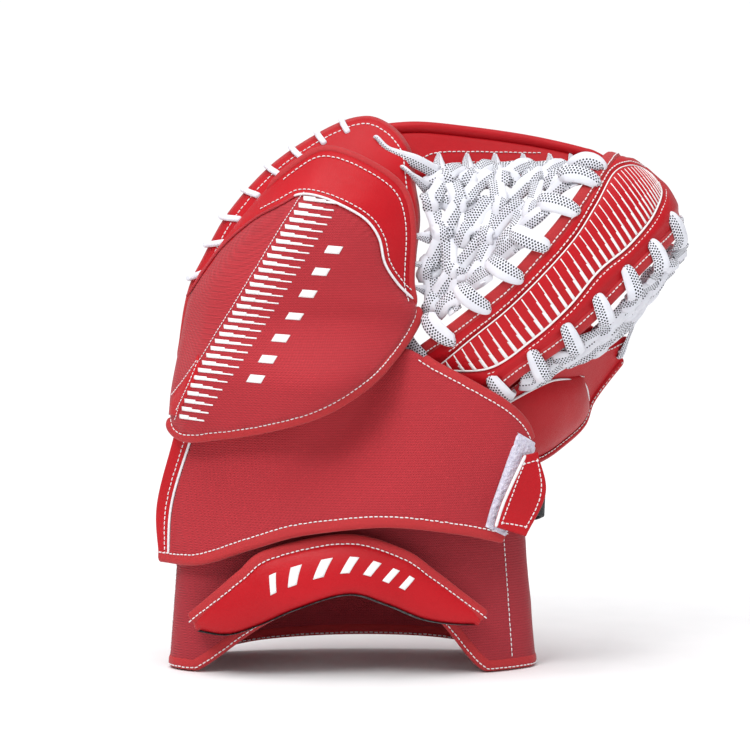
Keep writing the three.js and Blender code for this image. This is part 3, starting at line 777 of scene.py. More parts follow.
def polyline_distance(x, h, line):
    """Signed distance to a polyline, positive on the right as it is walked, and the arc length there."""
    line = np.array(line, float)
    best = np.full(np.shape(x), 1e9)
    signed, along = np.zeros(np.shape(x)), np.zeros(np.shape(x))
    start = 0.0
    for a, b in zip(line[:-1], line[1:]):
        d = b - a
        size = np.hypot(*d)
        t = np.clip(((x - a[0]) * d[0] + (h - a[1]) * d[1]) / size**2, 0, 1)
        off = np.hypot(x - a[0] - t * d[0], h - a[1] - t * d[1])
        cross = (x - a[0]) * d[1] - (h - a[1]) * d[0]
        nearer = off < best
        best = np.where(nearer, off, best)
        signed = np.where(nearer, off * np.sign(cross), signed)
        along = np.where(nearer, start + t * size, along)
        start += size
    return signed, along


def dome_share(x, h):
    """How far out on the dome pad a point lies, from 0 in the middle to 1 at its rim."""
    turn, out = polar(x, h)
    return out / np.interp(turn, dome_turns, dome_reaches, period=2 * np.pi)


def dome_far(x, h):
    return shell_depth(x, h) - SHELL_HALF - PAD_CLEARANCE - lip_lift(x, h)


def dome_near(x, h):
    """Y of the dome's near face, with its stitched ridge."""
    share = np.clip(dome_share(x, h), 0, 1)
    crown = 7 + 26 * np.maximum(1 - share**2.4, 0) ** 0.8
    off, _ = polyline_distance(x, h, RIDGE)
    inside = smooth((1 - share) / 0.25)
    top = 1 - smooth((h - 318) / 14)
    ridge = 8.5 * np.exp(-np.abs(off) / np.where(off > 0, 30.0, 15.0)) * inside * top
    groove = -1.0 * np.exp(-((off / 1.3) ** 2)) * inside * top
    return dome_far(x, h) - crown - ridge - groove


def on_dome(x, h, lift=0.0):
    """Points on the dome's near face at (x, height), lifted off it."""
    x, h = np.asarray(x, float), np.asarray(h, float)
    e = 0.6
    y = dome_near(x, h)
    gx = (dome_near(x + e, h) - dome_near(x - e, h)) / (2 * e)
    gh = (dome_near(x, h + e) - dome_near(x, h - e)) / (2 * e)
    n = unit(np.stack([gx, -np.ones_like(gx), gh], -1))
    p = np.stack([x, y, h], -1) + n * np.asarray(lift)[..., None]
    return place(p), unit(n)


def dome_slab(x, h, outer, inner):
    """A thin closed body on the dome between two lifts."""
    return closed_slab(on_dome(x, h, outer)[0], on_dome(x, h, inner)[0])


PRINT_TOP = 1.66
PRINT_BASE = 0.6
DOME_BARS = 31
DOME_BAR_REACH = 25.5
DOME_DASHES = 7
DOME_INSET = 0.985
FABRIC_EDGE = [
    (-163, 258), (-159, 262), (-139, 290), (-116, 310), (-95, 321), (-83, 327), (-68, 325), (-50, 317.5),
    (-37, 309), (-29, 297), (-25, 280), (-16, 266), (-6, 256),
]


def disc_points(rim, spokes, shares):
    """X and height of rings of points from the middle out to a rim."""
    edge = rim(np.arange(spokes) / spokes)[:, (0, 2)]
    return MIDDLE + (edge[None] - MIDDLE) * np.asarray(shares)[:, None, None]


def disc_body(near, far):
    """A closed body from two stacks of rings; the first ring of each is its centre."""
    rings, spokes = near.shape[:2]
    points = np.concatenate([near[0, :1], near[1:].reshape(-1, 3), far[0, :1], far[1:].reshape(-1, 3)])
    half = 1 + (rings - 1) * spokes
    faces = []
    for start in (0, half):
        side = [(start, start + 1 + j, start + 1 + (j + 1) % spokes) for j in range(spokes)]
        side += grid_faces(rings - 1, spokes, start + 1, wrap_n=True)
        faces += side if start == 0 else [f[::-1] for f in side]
    last = 1 + (rings - 2) * spokes
    for j in range(spokes):
        k = (j + 1) % spokes
        faces.append((last + j, half + last + j, half + last + k, last + k))
    return points, faces


def rounded_shares(count, edge=0.05):
    return np.concatenate([np.linspace(0, 1 - edge, count),
                           1 - edge + edge * np.sin(np.linspace(0, np.pi / 2, 8)[1:])])


def make_dome():
    spokes = 300
    shares = rounded_shares(70, 0.045)
    xh = disc_points(dome_rim, spokes, shares * DOME_INSET)
    x, h = xh[..., 0], xh[..., 1]
    near, far = dome_near(x, h), dome_far(x, h)
    off, along = polyline_distance(x, h, FABRIC_EDGE)
    fabric = off > 0
    inside = np.clip(off, 0, None)
    pucker = np.sin(along * 1.25 + 1.3 * np.sin(along * 0.31)) * np.exp(-inside / 5.0) * smooth(inside / 1.5)
    swell = 1.3 * smooth(inside / 7.0) - 0.9 * np.exp(-((off / 1.7) ** 2))
    lower = 1 - shares[:, None]
    spoke = np.arange(spokes)
    lip_pucker = np.sin(spoke * 0.62 + 1.6 * np.sin(spoke * 0.17)) * np.exp(-lower * 15)
    lip_pucker = lip_pucker * smooth((255 - h) / 25)
    near = near - swell - np.where(fabric, 0.6 * pucker, 0) - 0.75 * lip_pucker
    t = np.clip((shares - (1 - 0.045)) / 0.045, 0, 1)[:, None]
    middle, half = (near + far) / 2, (far - near) / 2 * (0.12 + 0.88 * np.sqrt(1 - t**2))
    near, far = middle - half, middle + half
    stack = lambda y: place(np.stack([x, y, h], -1))
    points, faces = disc_body(stack(near), stack(far))
    flags = np.concatenate([fabric[:1, :1].ravel(), fabric[1:].ravel(), fabric[:1, :1].ravel(),
                            fabric[1:].ravel()])
    groups = [1 if flags[list(f)].sum() * 2 > len(f) else 0 for f in faces]
    dome = piece("backhand_dome", points, faces, [LEATHER, FABRIC], "hand", ["backhand_pad"],
                 groups=groups)

    edge = np.array(curve([(x, 0, h) for x, h in FABRIC_EDGE], lean=False)(np.linspace(0.04, 1, 160)))
    right = edge[58:]
    path, n = on_dome(right[:, 0], right[:, 2], 0.9)
    sweep("dome_piping", path, n, oval(1.9, 1.9, 8), PIPING, "hand")
    left = edge[:60]
    path, n = on_dome(left[:, 0], left[:, 2], 0.4)
    sweep("dome_fold", path, n, oval(2.2, 1.6, 8), FABRIC, "hand")
    outside = unit(np.gradient(edge[:, (0, 2)], axis=0))[:, ::-1] * np.array([-1, 1])
    line = edge[:, (0, 2)] + outside * 4.0
    path, n = on_dome(line[:, 0], line[:, 1], 0.25)
    stitch_row("hand", path[40:], n[40:])


def make_dome_print():
    """Rows of three-step bars beside the ridge, and a plain run of slanted dashes."""
    batch = Batch()
    path = flat_curve(RIDGE, 400, 0.185, 0.955)
    s = lengths(path)
    for k, at in enumerate(np.linspace(0, s[-1], DOME_BARS)):
        p = np.array([np.interp(at, s, path[:, i]) for i in range(2)])
        shrink_top, shrink_low = min(1.0, (DOME_BARS - k) / 8.0), min(1.0, (k + 1) / 3.0)
        reach = DOME_BAR_REACH * (0.62 + 0.38 * shrink_top) * (0.8 + 0.2 * shrink_low)
        for a, b, thick in ((0.02, 0.38, 2.7), (0.36, 0.7, 1.75), (0.68, 1.0, 0.9)):
            xs = p[0] + 1.3 + np.linspace(a, b, 7) * reach
            low = p[1] - 1.0 - 0.1 * (xs - p[0])
            x = np.stack([xs, xs]).T
            h = np.stack([low, low + thick]).T
            batch.add(*dome_slab(x, h, PRINT_TOP, PRINT_BASE))
    axis = flat_curve([(-56, 296), (-78, 258), (-101, 219), (-121, 186)], 100)
    ahead = unit(np.gradient(axis, axis=0))
    beside = np.stack([ahead[:, 1], -ahead[:, 0]], 1)
    for i in range(6, 6 + 13 * DOME_DASHES, 13):
        p, along, across = axis[i], ahead[i], beside[i]
        s_, t_ = grid(np.linspace(-1, 1, 7), np.linspace(-1, 1, 5))
        where = p + across * (4.6 * s_)[..., None] + along * (2.9 * t_ + 2.2 * s_)[..., None]
        batch.add(*dome_slab(where[..., 0], where[..., 1], PRINT_TOP, PRINT_BASE))
    batch.build("dome_bars", PRINT, "hand")
    ridge = flat_curve(RIDGE, 300, 0.14, 0.97)
    path, n = on_dome(ridge[:, 0] - 1.2, ridge[:, 1], 1.35)
    stitch_row("hand", path, n, pitch=2.4, length=1.6, radius=0.3)


ACCENT = [(-152, 217), (-158, 205), (-166, 196), (-171.5, 186), (-173, 176), (-167, 175), (-158, 191),
          (-150, 209)]


def make_accent():
    """A small leather corner on the dome's outer side, stitched in a V."""
    edge = flat_curve(ACCENT[:5], 24), flat_curve(ACCENT[:4:-1], 24)
    a = np.linspace(0, 1, 9)
    xh = edge[0][:, None] * (1 - a[None, :, None]) + edge[1][:, None] * a[None, :, None]
    rise = 1.2 + 0.9 * np.sin(np.pi * a)[None] * np.ones((24, 1))
    points, faces = dome_slab(xh[..., 0], xh[..., 1], rise, 0.2)
    piece("dome_accent", points, faces, LEATHER, "hand")
    for line in (((-152.5, 212), (-161, 200), (-169.5, 190)), ((-151.5, 212), (-158, 196), (-166, 180))):
        xh = flat_curve(line, 30)
        path, n = on_dome(xh[:, 0], xh[:, 1], 2.1)
        stitch_row("hand", path, n, pitch=2.8, length=1.9, radius=0.34)


def make_dome_edge():
    """The bound lower lip with its stitches, and a narrower tape round the top."""
    t = np.linspace(0.262, 0.655, 240)
    rim = dome_rim(t)[:, (0, 2)]
    line = MIDDLE + (rim - MIDDLE) * DOME_INSET
    far = dome_far(line[:, 0], line[:, 1])
    path = place(np.stack([line[:, 0], far - 3.6, line[:, 1]], 1))
    outward = np.zeros_like(path)
    outward[:, (0, 2)] = unit(rim - MIDDLE)
    up = unit(np.array([0, -1.0, 0]) + 0.35 * outward)
    sweep("dome_binding", path, up, oval(9.4, 8.4, 14, 2.6), TAPE, "hand", ["backhand_binding"],
          ends=12)
    _, side, high = frames(path, up)
    inward = np.sign(np.einsum("ij,ij->i", side, -outward))[:, None] * side
    seam = path + high * 3.9 + inward * 2.3
    stitch_row("hand", seam, high)

    t = np.linspace(0.895, 1.262, 200)
    rim = dome_rim(t)[:, (0, 2)]
    line = MIDDLE + (rim - MIDDLE) * 0.965
    far = dome_far(line[:, 0], line[:, 1])
    near = dome_near(line[:, 0], line[:, 1])
    path = place(np.stack([line[:, 0], (far + near) / 2 - 1.0, line[:, 1]], 1))
    outward = np.zeros_like(path)
    outward[:, (0, 2)] = unit(rim - MIDDLE)
    up = unit(np.array([0, -1.0, 0]) + 0.5 * outward)
    sweep("dome_rim_tape", path, up, oval(7.0, 8.6, 14, 2.4), TAPE, "hand", ends=16)
    line = MIDDLE + (rim - MIDDLE) * 0.918
    path, n = on_dome(line[:, 0], line[:, 1], 0.5)
    stitch_row("hand", path[14:-6], n[14:-6])


def make_shell():
    """Finger shell and finger palm: two leathers that meet at the taped, laced rim."""
    spokes = 260
    shares = rounded_shares(40, 0.05)
    xh = disc_points(shell_rim, spokes, shares)
    x, h = xh[..., 0], xh[..., 1]
    middle = shell_depth(x, h)
    t = np.clip((shares - 0.95) / 0.05, 0, 1)[:, None]
    half = SHELL_HALF * (0.1 + 0.9 * np.sqrt(1 - t**2)) + 0 * x
    stack = lambda y: place(np.stack([x, y, h], -1))
    points, faces = disc_body(stack(middle - half), stack(middle + half))
    piece("finger_back", points, faces, LEATHER, "hand", ["finger_shell"])

    room = PALM_ROOM * (1 - shares**3)[:, None] + 0.6
    wrinkle = 0.5 * np.sin(h * 0.21 + 2 * np.sin(x * 0.05)) * smooth((0.9 - shares) / 0.3)[:, None]
    low = middle + SHELL_HALF + room
    thick = 7.0 * (0.1 + 0.9 * np.sqrt(1 - t**2))
    points, faces = disc_body(stack(low + 3.5 - thick / 2), stack(low + 3.5 + thick / 2 + wrinkle))
    piece("finger_palm_leather", points, faces, PALM, "hand", ["finger_palm"])

    t = np.linspace(0.64, 1.30, 420)
    rim = shell_rim(t)
    out = np.zeros_like(rim)
    out[:, (0, 2)] = unit(rim[:, (0, 2)] - MIDDLE)
    path = place(rim - out * 1.6 + np.array([0, 3.7, 0]))
    sweep("rim_tape", path, out, oval(14.6, 5.6, 16, 3.2), TAPE, "hand", ends=8)
    inner = rim[:, (0, 2)] - out[:, (0, 2)] * 5.4
    y = shell_depth(inner[:, 0], inner[:, 1]) - SHELL_HALF - 0.2
    stitch_row("hand", place(np.stack([inner[:, 0], y, inner[:, 1]], 1)), np.array([0, -1.0, 0]))
    for share in (0.95, 0.88):
        x = MIDDLE[0] + (rim[:, 0] - MIDDLE[0]) * share
        h = MIDDLE[1] + (rim[:, 2] - MIDDLE[1]) * share
        y = shell_depth(x, h) + SHELL_HALF + PALM_ROOM * (1 - share**3) + 7.7
        stitch_row("hand", place(np.stack([x, y, h], 1)), np.array([0, 1.0, 0]))


RIM_LACES = [(-52, 378), (-70, 372), (-87.5, 362), (-104, 349), (-120, 333), (-135, 315), (-147, 297),
             (-157, 274)]


def make_rim_laces():
    """Laces whipped over the rim, as far as the little finger."""
    batch = Batch()
    t = np.linspace(0.6, 1.1, 2000)
    rim = shell_rim(t)
    for x, h in RIM_LACES:
        near = t[np.argmin(np.hypot(rim[:, 0] - x, rim[:, 2] - h))]
        before, p, after = shell_rim(np.array([near - 0.003, near, near + 0.003]))
        ahead = unit(after - before)
        out = unit(np.array([p[0] - MIDDLE[0], 0, p[2] - MIDDLE[1]]))
        slip = ahead if ahead[2] > 0 else -ahead
        offsets = [
            (-9.4, 1.5, 5.4), (-8.8, -1.2, 5.0), (-5.4, -2.2, 2.6), (-1.2, -2.2, -0.4), (2.9, -1.2, -2.8),
            (3.6, 3.6, -3.2), (2.4, 10.0, -2.4), (-1.5, 12.8, 0.0), (-6.0, 12.6, 1.0), (-9.0, 9.5, 1.6),
        ]
        points = [p + out * a + np.array([0, b, 0]) + slip * c for a, b, c in offsets]
        for point in points[:5]:
            front = float(shell_depth(point[0], point[2])) - SHELL_HALF
            point[1] += min(p[1] - 3.6, front) - p[1]
        path = spline(place(points), 44)
        centre = place(p - out * 6 + np.array([0, 3.5, 0]))
        batch.add(*ribbon_body(path, unit(path - centre), 4.3, 3.2, sides=9))
    batch.build("rim_laces", CORD, "hand", ["finger_perimeter_lace"], "lace")


make_dome()
make_dome_print()
make_accent()
make_dome_edge()
make_shell()
make_rim_laces()


# ---------------------------------------------------------------- cuff
CUFF_MIDDLE_X = -46.0
CUFF_TAPER = 0.93
FRONT_PLAN = [(-168, 3), (-172, -15), (-156, -31), (-108, -43), (-48, -47), (6, -44), (46, -34), (74, -14),
              (79, 3)]
FRONT_ARCH = (0, 0, 0, 36, 64, 46, 0, 0, 0)
FRONT_TOP = (112, 112, 110, 110, 112, 112, 108, 100, 98)
FAR_PLAN = [(-167, 10), (-154, 38), (-112, 55), (-46, 62), (18, 58), (60, 45), (79, 10)]
FAR_ARCH = (0, 0, 7, 10, 8, 0, 0)
FAR_TOP = (112, 126, 126, 124, 122, 116, 104)


def cuff_surface(plan, low, top):
    at = lambda heights, inset: curve(
        [(CUFF_MIDDLE_X + (x - CUFF_MIDDLE_X) * inset, y * inset, z) for (x, y), z in zip(plan, heights)],
        lean=False
    )
    foot, head = at(low, 1), at(top, CUFF_TAPER)

    def surface(u, v):
        u, v = arrays(u, v)
        base = foot(u)
        base[..., 2] = np.maximum(base[..., 2], 0)
        return mix(base, head(u), v)

    return surface


def edge_tape(name, surface, u, v, body, width=9.0, thick=7.0, replaces=(), seam=2.4, count=160):
    """A folded tape over an edge of a surface, stitched on both faces; u and v give its centre line."""
    path, n = on_line(surface, u, v, count)
    sweep(name, path, n, oval(width, thick, 14, 2.8), TAPE, body, replaces)
    _, side, high = frames(path, n)
    for face in (1, -1):
        stitch_row(body, path + side * seam + high * face * (thick / 2 * 0.97), high * face)


def seam_row(surface, u, v, body, lift, count=120):
    """Stitches along a line on a surface; lift is the height of the face above the surface."""
    path, n = on_line(surface, u, v, count)
    stitch_row(body, path + n * lift, n * np.sign(lift))


def make_cuff():
    front = cuff_surface(FRONT_PLAN, FRONT_ARCH, FRONT_TOP)
    far = cuff_surface(FAR_PLAN, FAR_ARCH, FAR_TOP)
    dimple = lambda a, b, inset: 0.3 * np.sin(a * 160 + 3 * np.sin(b * 7)) * np.exp(-inset / 6)
    panel("cuff_front", front, "hand", CUFF_FABRIC, v=(0.03, 1), low=-3, high=3,
          replaces=["cuff_front_panel"], relief=dimple)
    panel("cuff_far", far, "hand", CUFF_FABRIC, v=(0.03, 1), low=-3, high=3, replaces=["palm_cuff"])
    edge_tape("cuff_front_tape", front, (0.0, 1.0), 0.042, "hand", 9.0, 7.6, ["cuff_front_binding"],
              count=260)
    edge_tape("cuff_far_tape", far, (0.0, 1.0), 0.042, "hand", 9.0, 7.6, ["palm_cuff_binding"], count=240)
    seam_row(front, 0.815, (0.1, 0.98), "hand", 3.1)
    seam_row(front, 0.12, (0.1, 0.7), "hand", 3.1)
    for u in (0.06, 0.94):
        seam_row(far, u, (0.1, 0.98), "hand", -3.1)
        seam_row(far, u, (0.1, 0.98), "hand", 3.1)


LINER_LOW = [(-150, -8, 12), (-146, 14, 10), (-124, 34, 18), (-98, 42, 25), (-60, 47, 44), (0, 46, 52),
             (52, 32, 48), (66, 4, 40)]
LINER_TOP = [(-148, -8, 108), (-144, 14, 118), (-124, 33, 122), (-98, 40, 122), (-60, 45, 122),
             (0, 44, 120), (50, 30, 112), (64, 4, 100)]


def make_lining():
    wall = patch(curve(LINER_LOW, lean=False), curve(LINER_TOP, lean=False))
    panel("lining", wall, "hand", MESH, v=(0.03, 1), low=-1.5, high=1.5, replaces=["hand_liner"])
    edge_tape("lining_tape", wall, (0, 1), 0.05, "hand", 8, 4.6, ["liner_binding"], count=200)
    for node in ("index_finger_stall", "middle_finger_stall", "ring_finger_stall", "little_finger_stall",
                 "thumb_stall"):
        keep_cad(node, MESH)
    keep_cad("palm_board", BOARD)
    keep_cad("hand_strap", ELASTIC)


def make_palm_heel():
    low = curve([(-150, 46, 144), (-110, 64, 144), (-46, 71, 142), (14, 66, 140), (36, 58, 138)])
    top = curve([(-160, 6, 190), (-120, 10, 189), (-84, 11, 193), (-34, 12, 203), (26, 16, 216)])
    heel = patch(low, top)
    crease = lambda a, b, inset: 0.6 * np.sin(b * 30 + 4 * np.sin(a * 5)) * smooth(inset / 12)
    panel("palm_heel_leather", heel, "hand", PALM, low=-3.5, high=3.5, replaces=["palm_heel"],
          relief=crease)
    for v in (0.06, 0.94):
        seam_row(heel, (0.03, 0.97), v, "hand", -3.6)
    for u in (0.3, 0.55, 0.8):
        seam_row(heel, u, (0.08, 0.92), "hand", -3.6)


make_cuff()
make_lining()
make_palm_heel()


# ---------------------------------------------------------------- tee, crossbars, nets
TEE_FINGER_EDGE = [
    (-2, -20, 222), (18, -36, 236), (38, -47, 252), (57, -54, 268), (77, -56, 290), (95, -50, 312),
    (112, -33, 337), (124, -6, 354), (130, 26, 358), (131, 60, 357),
]
TEE_THUMB_EDGE = [
    (44, -28, 180), (68, -40, 203), (98, -47, 224), (120, -48, 243), (139, -44, 262), (156, -34, 279),
    (169, -18, 291), (178, 2, 300), (182, 30, 304), (182, 56, 304),
]
_tee_flat = patch(
    curve([TEE_FINGER_EDGE[0], TEE_THUMB_EDGE[0]]), curve([TEE_FINGER_EDGE[-1], TEE_THUMB_EDGE[-1]]),
    curve(TEE_FINGER_EDGE), curve(TEE_THUMB_EDGE),
)


def tee_surface(u, v):
    u, v = arrays(u, v)
    crown = 4 * u * (1 - u) * (3 + 9 * smooth((v - 0.5) / 0.3))
    return _tee_flat(u, v) + normals(_tee_flat, u, v) * crown[..., None]


# Matched points along the printed lens: its finger side and its thumb side, from its lower tip up
LENS_LEFT = [
    (12, 209), (35, 229), (60, 250), (84, 274), (104, 297), (119, 320), (131, 340), (142, 346),
    (152, 344.5), (159, 340),
]
LENS_RIGHT = [
    (13, 208), (48, 210), (76, 229), (100, 251), (120, 275), (139, 291), (154, 308), (161, 320), (164, 329),
    (162.5, 336),
]
TEE_TAPE = 0.066


def make_tee():
    def relief(u, v, inset):
        where = seen(tee_surface(u, v))
        left, _ = polyline_distance(where[..., 0], where[..., 1], LENS_LEFT)
        right, _ = polyline_distance(where[..., 0], where[..., 1], LENS_RIGHT)
        seams = np.exp(-((left / 1.8) ** 2)) + np.exp(-((right / 1.8) ** 2))
        fill = smooth(np.abs(left) / 9) * smooth(np.abs(right) / 7) * smooth((inset - 4) / 6)
        return 1.9 * fill - 1.1 * seams

    panel("tee_leather", tee_surface, "tee", LEATHER, u=(0.1, 0.9), low=-3.5, high=3.4, radius=3, pitch=2.0,
          relief=relief, replaces=["tee_spine"])
    panel("tee_inside", tee_surface, "tee", PALM, u=(0.04, 0.96), v=(0.02, 0.98), low=-7.0, high=-3.4,
          radius=1.5, replaces=["tee_backing"])
    for u, seam, name, node in (
        (TEE_TAPE, 0.094, "tee_finger_tape", "tee_finger_binding"),
        (1 - TEE_TAPE, 0.906, "tee_thumb_tape", "tee_thumb_binding"),
    ):
        path, n = on_line(tee_surface, u, (0, 1), 240)
        sweep(name, path - n * 0.6, n, oval(10.0, 9.0, 14, 3.4), TAPE, "tee", [node])
        seam_row(tee_surface, seam, (0.015, 0.985), "tee", 4.0, count=260)
        seam_row(tee_surface, 0.12 if u < 0.5 else 0.88, (0.015, 0.985), "tee", -7.2, count=260)


def lens_point(k, a):
    """(x, height) in the lens: k along it, a across from its finger side to its thumb side."""
    k, a = arrays(k, a)
    left, right = (curve([(x, 0, h) for x, h in side], lean=False)(k) for side in (LENS_LEFT, LENS_RIGHT))
    where = mix(left, right, a)
    return where[..., 0], where[..., 2]


def lens_lift(k, a):
    """Height of the lens's face over the tee's surface."""
    return 4.0 + 1.5 * np.sin(np.pi * a) ** 0.5 * np.sin(np.pi * k) ** 0.3


LENS_LENGTH = 250.0
LENS_BARS = 38
LENS_STEPS = ((0.05, 0.37, 0.65), (0.35, 0.66, 1.2), (0.64, 0.97, 2.0))


def make_lens():
    """The tee's printed panel, its rows of three-step bars, and its printed and stitched edges."""
    k, a = grid(np.linspace(0.002, 0.998, 130), np.linspace(0, 1, 22))
    points, faces = surface_slab(tee_surface, *lens_point(k, a), lens_lift(k, a), 1.5)
    piece("tee_lens", points, faces, LEATHER, "tee", ["tee_panel"])
    bars = Batch()
    for start in 0.035 + 0.925 * np.arange(LENS_BARS) / (LENS_BARS - 1):
        for a0, a1, thick in LENS_STEPS:
            a, k = grid(np.linspace(a0, a1, 7), start + np.array([-thick / LENS_LENGTH, 0.0]))
            lift = lens_lift(k, a)
            bars.add(*surface_slab(tee_surface, *lens_point(k, a), lift + 0.3, lift - 0.4))
    bars.build("tee_bars", PRINT, "tee")
    for points, name, width, shift in (
        (LENS_RIGHT, "lens_line_thumb", 1.5, -3.6), (LENS_LEFT, "lens_line_finger", 0.9, 3.0),
    ):
        line = flat_curve(points, 240)
        path, n = on_surface(tee_surface, line[:, 0], line[:, 1], 4.25)
        sweep(name, path, n, oval(width, 1.0, 8), PRINT, "tee")
        ahead = unit(np.gradient(line, axis=0))
        beside = line + np.stack([-ahead[:, 1], ahead[:, 0]], 1) * shift
        path, n = on_surface(tee_surface, beside[:, 0], beside[:, 1], 4.0)
        stitch_row("tee", path[14:-22], n[14:-22])


# Laces round the tee's edges: (x, height) of the hole each comes out of, and of where it goes over the edge
FINGER_WRAPS = [
    ((5.6, 216), (-10, 230)), ((24.5, 228), (7, 242)), ((47.6, 250), (29, 262)), ((69, 270), (50, 280)),
    ((86, 291), (66, 300)), ((105.7, 313.6), (85, 322)), ((119.7, 333), (100, 341)),
    ((124, 344), (108, 349)),
]
THUMB_WRAPS = [
    ((48.7, 204.4), (61.5, 188)), ((76, 222), (85.5, 202)), ((98, 240), (107.5, 219.5)),
    ((119, 259.5), (127, 240)), ((138, 278), (146, 257.5)), ((155.4, 295.4), (163.5, 276)),
    ((168.7, 314.3), (177, 293)),
]


def edge_wrap(batch, hole, over, width, flip, tuck):
    """A leaf-shaped lace: out of its hole, over the tape, then off to the net or tucked behind the edge."""
    hole, over = np.array(hole, float), np.array(over, float)
    if tuck:
        share = np.array([0.0, 0.08, 0.3, 0.55, 0.8, 1.0, 1.04, 0.96])
        lift = np.array([2.2, 5.2, 6.8, 7.0, 6.2, 2.5, -3.5, -8.0])
    else:
        share = np.array([0.0, 0.05, 0.25, 0.5, 0.75, 0.95, 1.1, 1.18])
        lift = np.array([2.2, 5.2, 6.8, 7.0, 5.8, 3.2, 0.0, -4.0])
    xh = hole + (over - hole) * share[:, None]
    points, n = on_surface(tee_surface, xh[:, 0], xh[:, 1], lift)
    count = 40
    path, up = spline(points, count), spline(n, count)
    t = np.linspace(0, 1, count)
    tangent = unit(np.gradient(path, axis=0))
    up = unit(up + np.array([0, -0.9, 0.1]))
    if tuck:
        away = unit(np.array([over[0] - hole[0], 0, over[1] - hole[1]]))
        turn = smooth((t - 0.62) / 0.22)[:, None]
        up = unit(up * (1 - turn) + away * turn)
    up = unit(up - tangent * np.einsum("ij,ij->i", up, tangent)[:, None])
    wide = width * (0.22 + 0.78 * np.sin(np.pi * np.clip(0.02 + t * (0.9 if tuck else 0.8), 0, 1)) ** 0.6)
    points, faces, uv = ribbon_body(path, up, wide, 1.3, cup=1.0, sides=9)
    uv[:, 1] *= flip
    batch.add(points, faces, uv)


def make_edge_wraps():
    for name, wraps, width, node, tuck in (
        ("tee_finger_laces", FINGER_WRAPS, 13.5, [], False),
        ("tee_thumb_laces", THUMB_WRAPS, 12.0, ["tee_thumb_lace"], True),
    ):
        batch = Batch()
        for i, (hole, over) in enumerate(wraps):
            edge_wrap(batch, hole, over, width, -1 if i % 3 == 1 else 1, tuck)
        batch.build(name, LACE, "tee", node, "lace")


BAR_LOW = [(-8, 30, 342), (22, 38, 343), (56, 47, 344), (92, 54, 345), (123, 58, 343)]
BAR_TOP = [(-28, 40, 373), (0, 46, 375), (36, 56, 372), (74, 64, 367), (104, 68, 361), (127, 70, 355)]
finger_bar = patch(curve(BAR_LOW), curve(BAR_TOP))
THUMB_BAR_INNER = [(178, 37, 293), (166, 46, 274), (152, 60, 250), (144, 68, 236)]
THUMB_BAR_OUTER = [(181, 66, 297), (172, 76, 278), (157, 88, 254), (149, 94, 240)]
thumb_bar = patch(curve(THUMB_BAR_INNER), curve(THUMB_BAR_OUTER))


def make_crossbars():
    panel("crossbar_leather", finger_bar, "tee", LEATHER, low=-3, high=3.2, replaces=["finger_crossbar"])
    panel("thumb_bar_leather", thumb_bar, "tee", LEATHER, low=-3, high=3, replaces=["thumb_crossbar"])
    line = np.linspace(0, 1, 120)
    bead = np.vstack([finger_bar(line, 1.0) + np.array([0, 0, 3.9]), place([(132, 68, 355), (136, 63, 350)])])
    bead = spline(bead[::6], 130)
    sweep("crossbar_roll", bead, np.array([0, 0, 1.0]), oval(8.4, 8.4, 14), LEATHER, "tee",
          ["crossbar_bead"])
    for points in (((-2, 350), (2, 356), (14, 360), (45, 360.5), (84, 360)),
                   ((17, 351), (38, 353), (88, 353))):
        line = flat_curve(points, 120)
        path, n = on_surface(finger_bar, line[:, 0], line[:, 1], 3.4)
        stitch_row("tee", path, n)
    for v in (0.12, 0.88):
        seam_row(finger_bar, (0.04, 0.97), v, "tee", -3.1)
        seam_row(thumb_bar, (0.06, 0.94), v, "tee", 3.1)
        seam_row(thumb_bar, (0.06, 0.94), v, "tee", -3.1)


NET_BAR_SIDE = [(4, 12, 346), (34, 26, 349), (66, 34, 352), (98, 30, 352), (118, -6, 351)]
NET_RIM_SIDE = [(4, -25, 240), (3, -20, 262), (4, -16, 290), (5, -10, 316), (4, 2, 338), (4, 12, 346)]
NET_TEE_SIDE = [
    (9, -30, 237), (32, -44, 255), (51, -54, 272), (71, -57, 295), (89, -52, 316), (106, -36, 338),
    (118, -6, 351),
]
NET_THUMB_TEE_SIDE = [
    (64, -36, 196), (94, -43, 217), (122, -43, 237), (142, -38, 256), (160, -28, 272), (174, -12, 285),
    (182, 8, 296),
]
NET_THUMB_SIDE = [
    (88, 12, 208), (104, 30, 216), (122, 46, 222), (140, 58, 236), (154, 52, 256), (167, 38, 276),
    (179, 29, 291),
]
net_finger = patch(
    curve([(4, -25, 240), (6, -27, 239), (9, -30, 237)]), curve(NET_BAR_SIDE),
    curve(NET_RIM_SIDE), curve(NET_TEE_SIDE),
)
net_thumb = patch(
    curve([(64, -36, 196), (76, -12, 200), (88, 12, 208)]),
    curve([(182, 8, 296), (184, 20, 293), (179, 29, 291)]),
    curve(NET_THUMB_TEE_SIDE), curve(NET_THUMB_SIDE),
)


VIEWER = np.array([0.0, -0.99, 0.1])


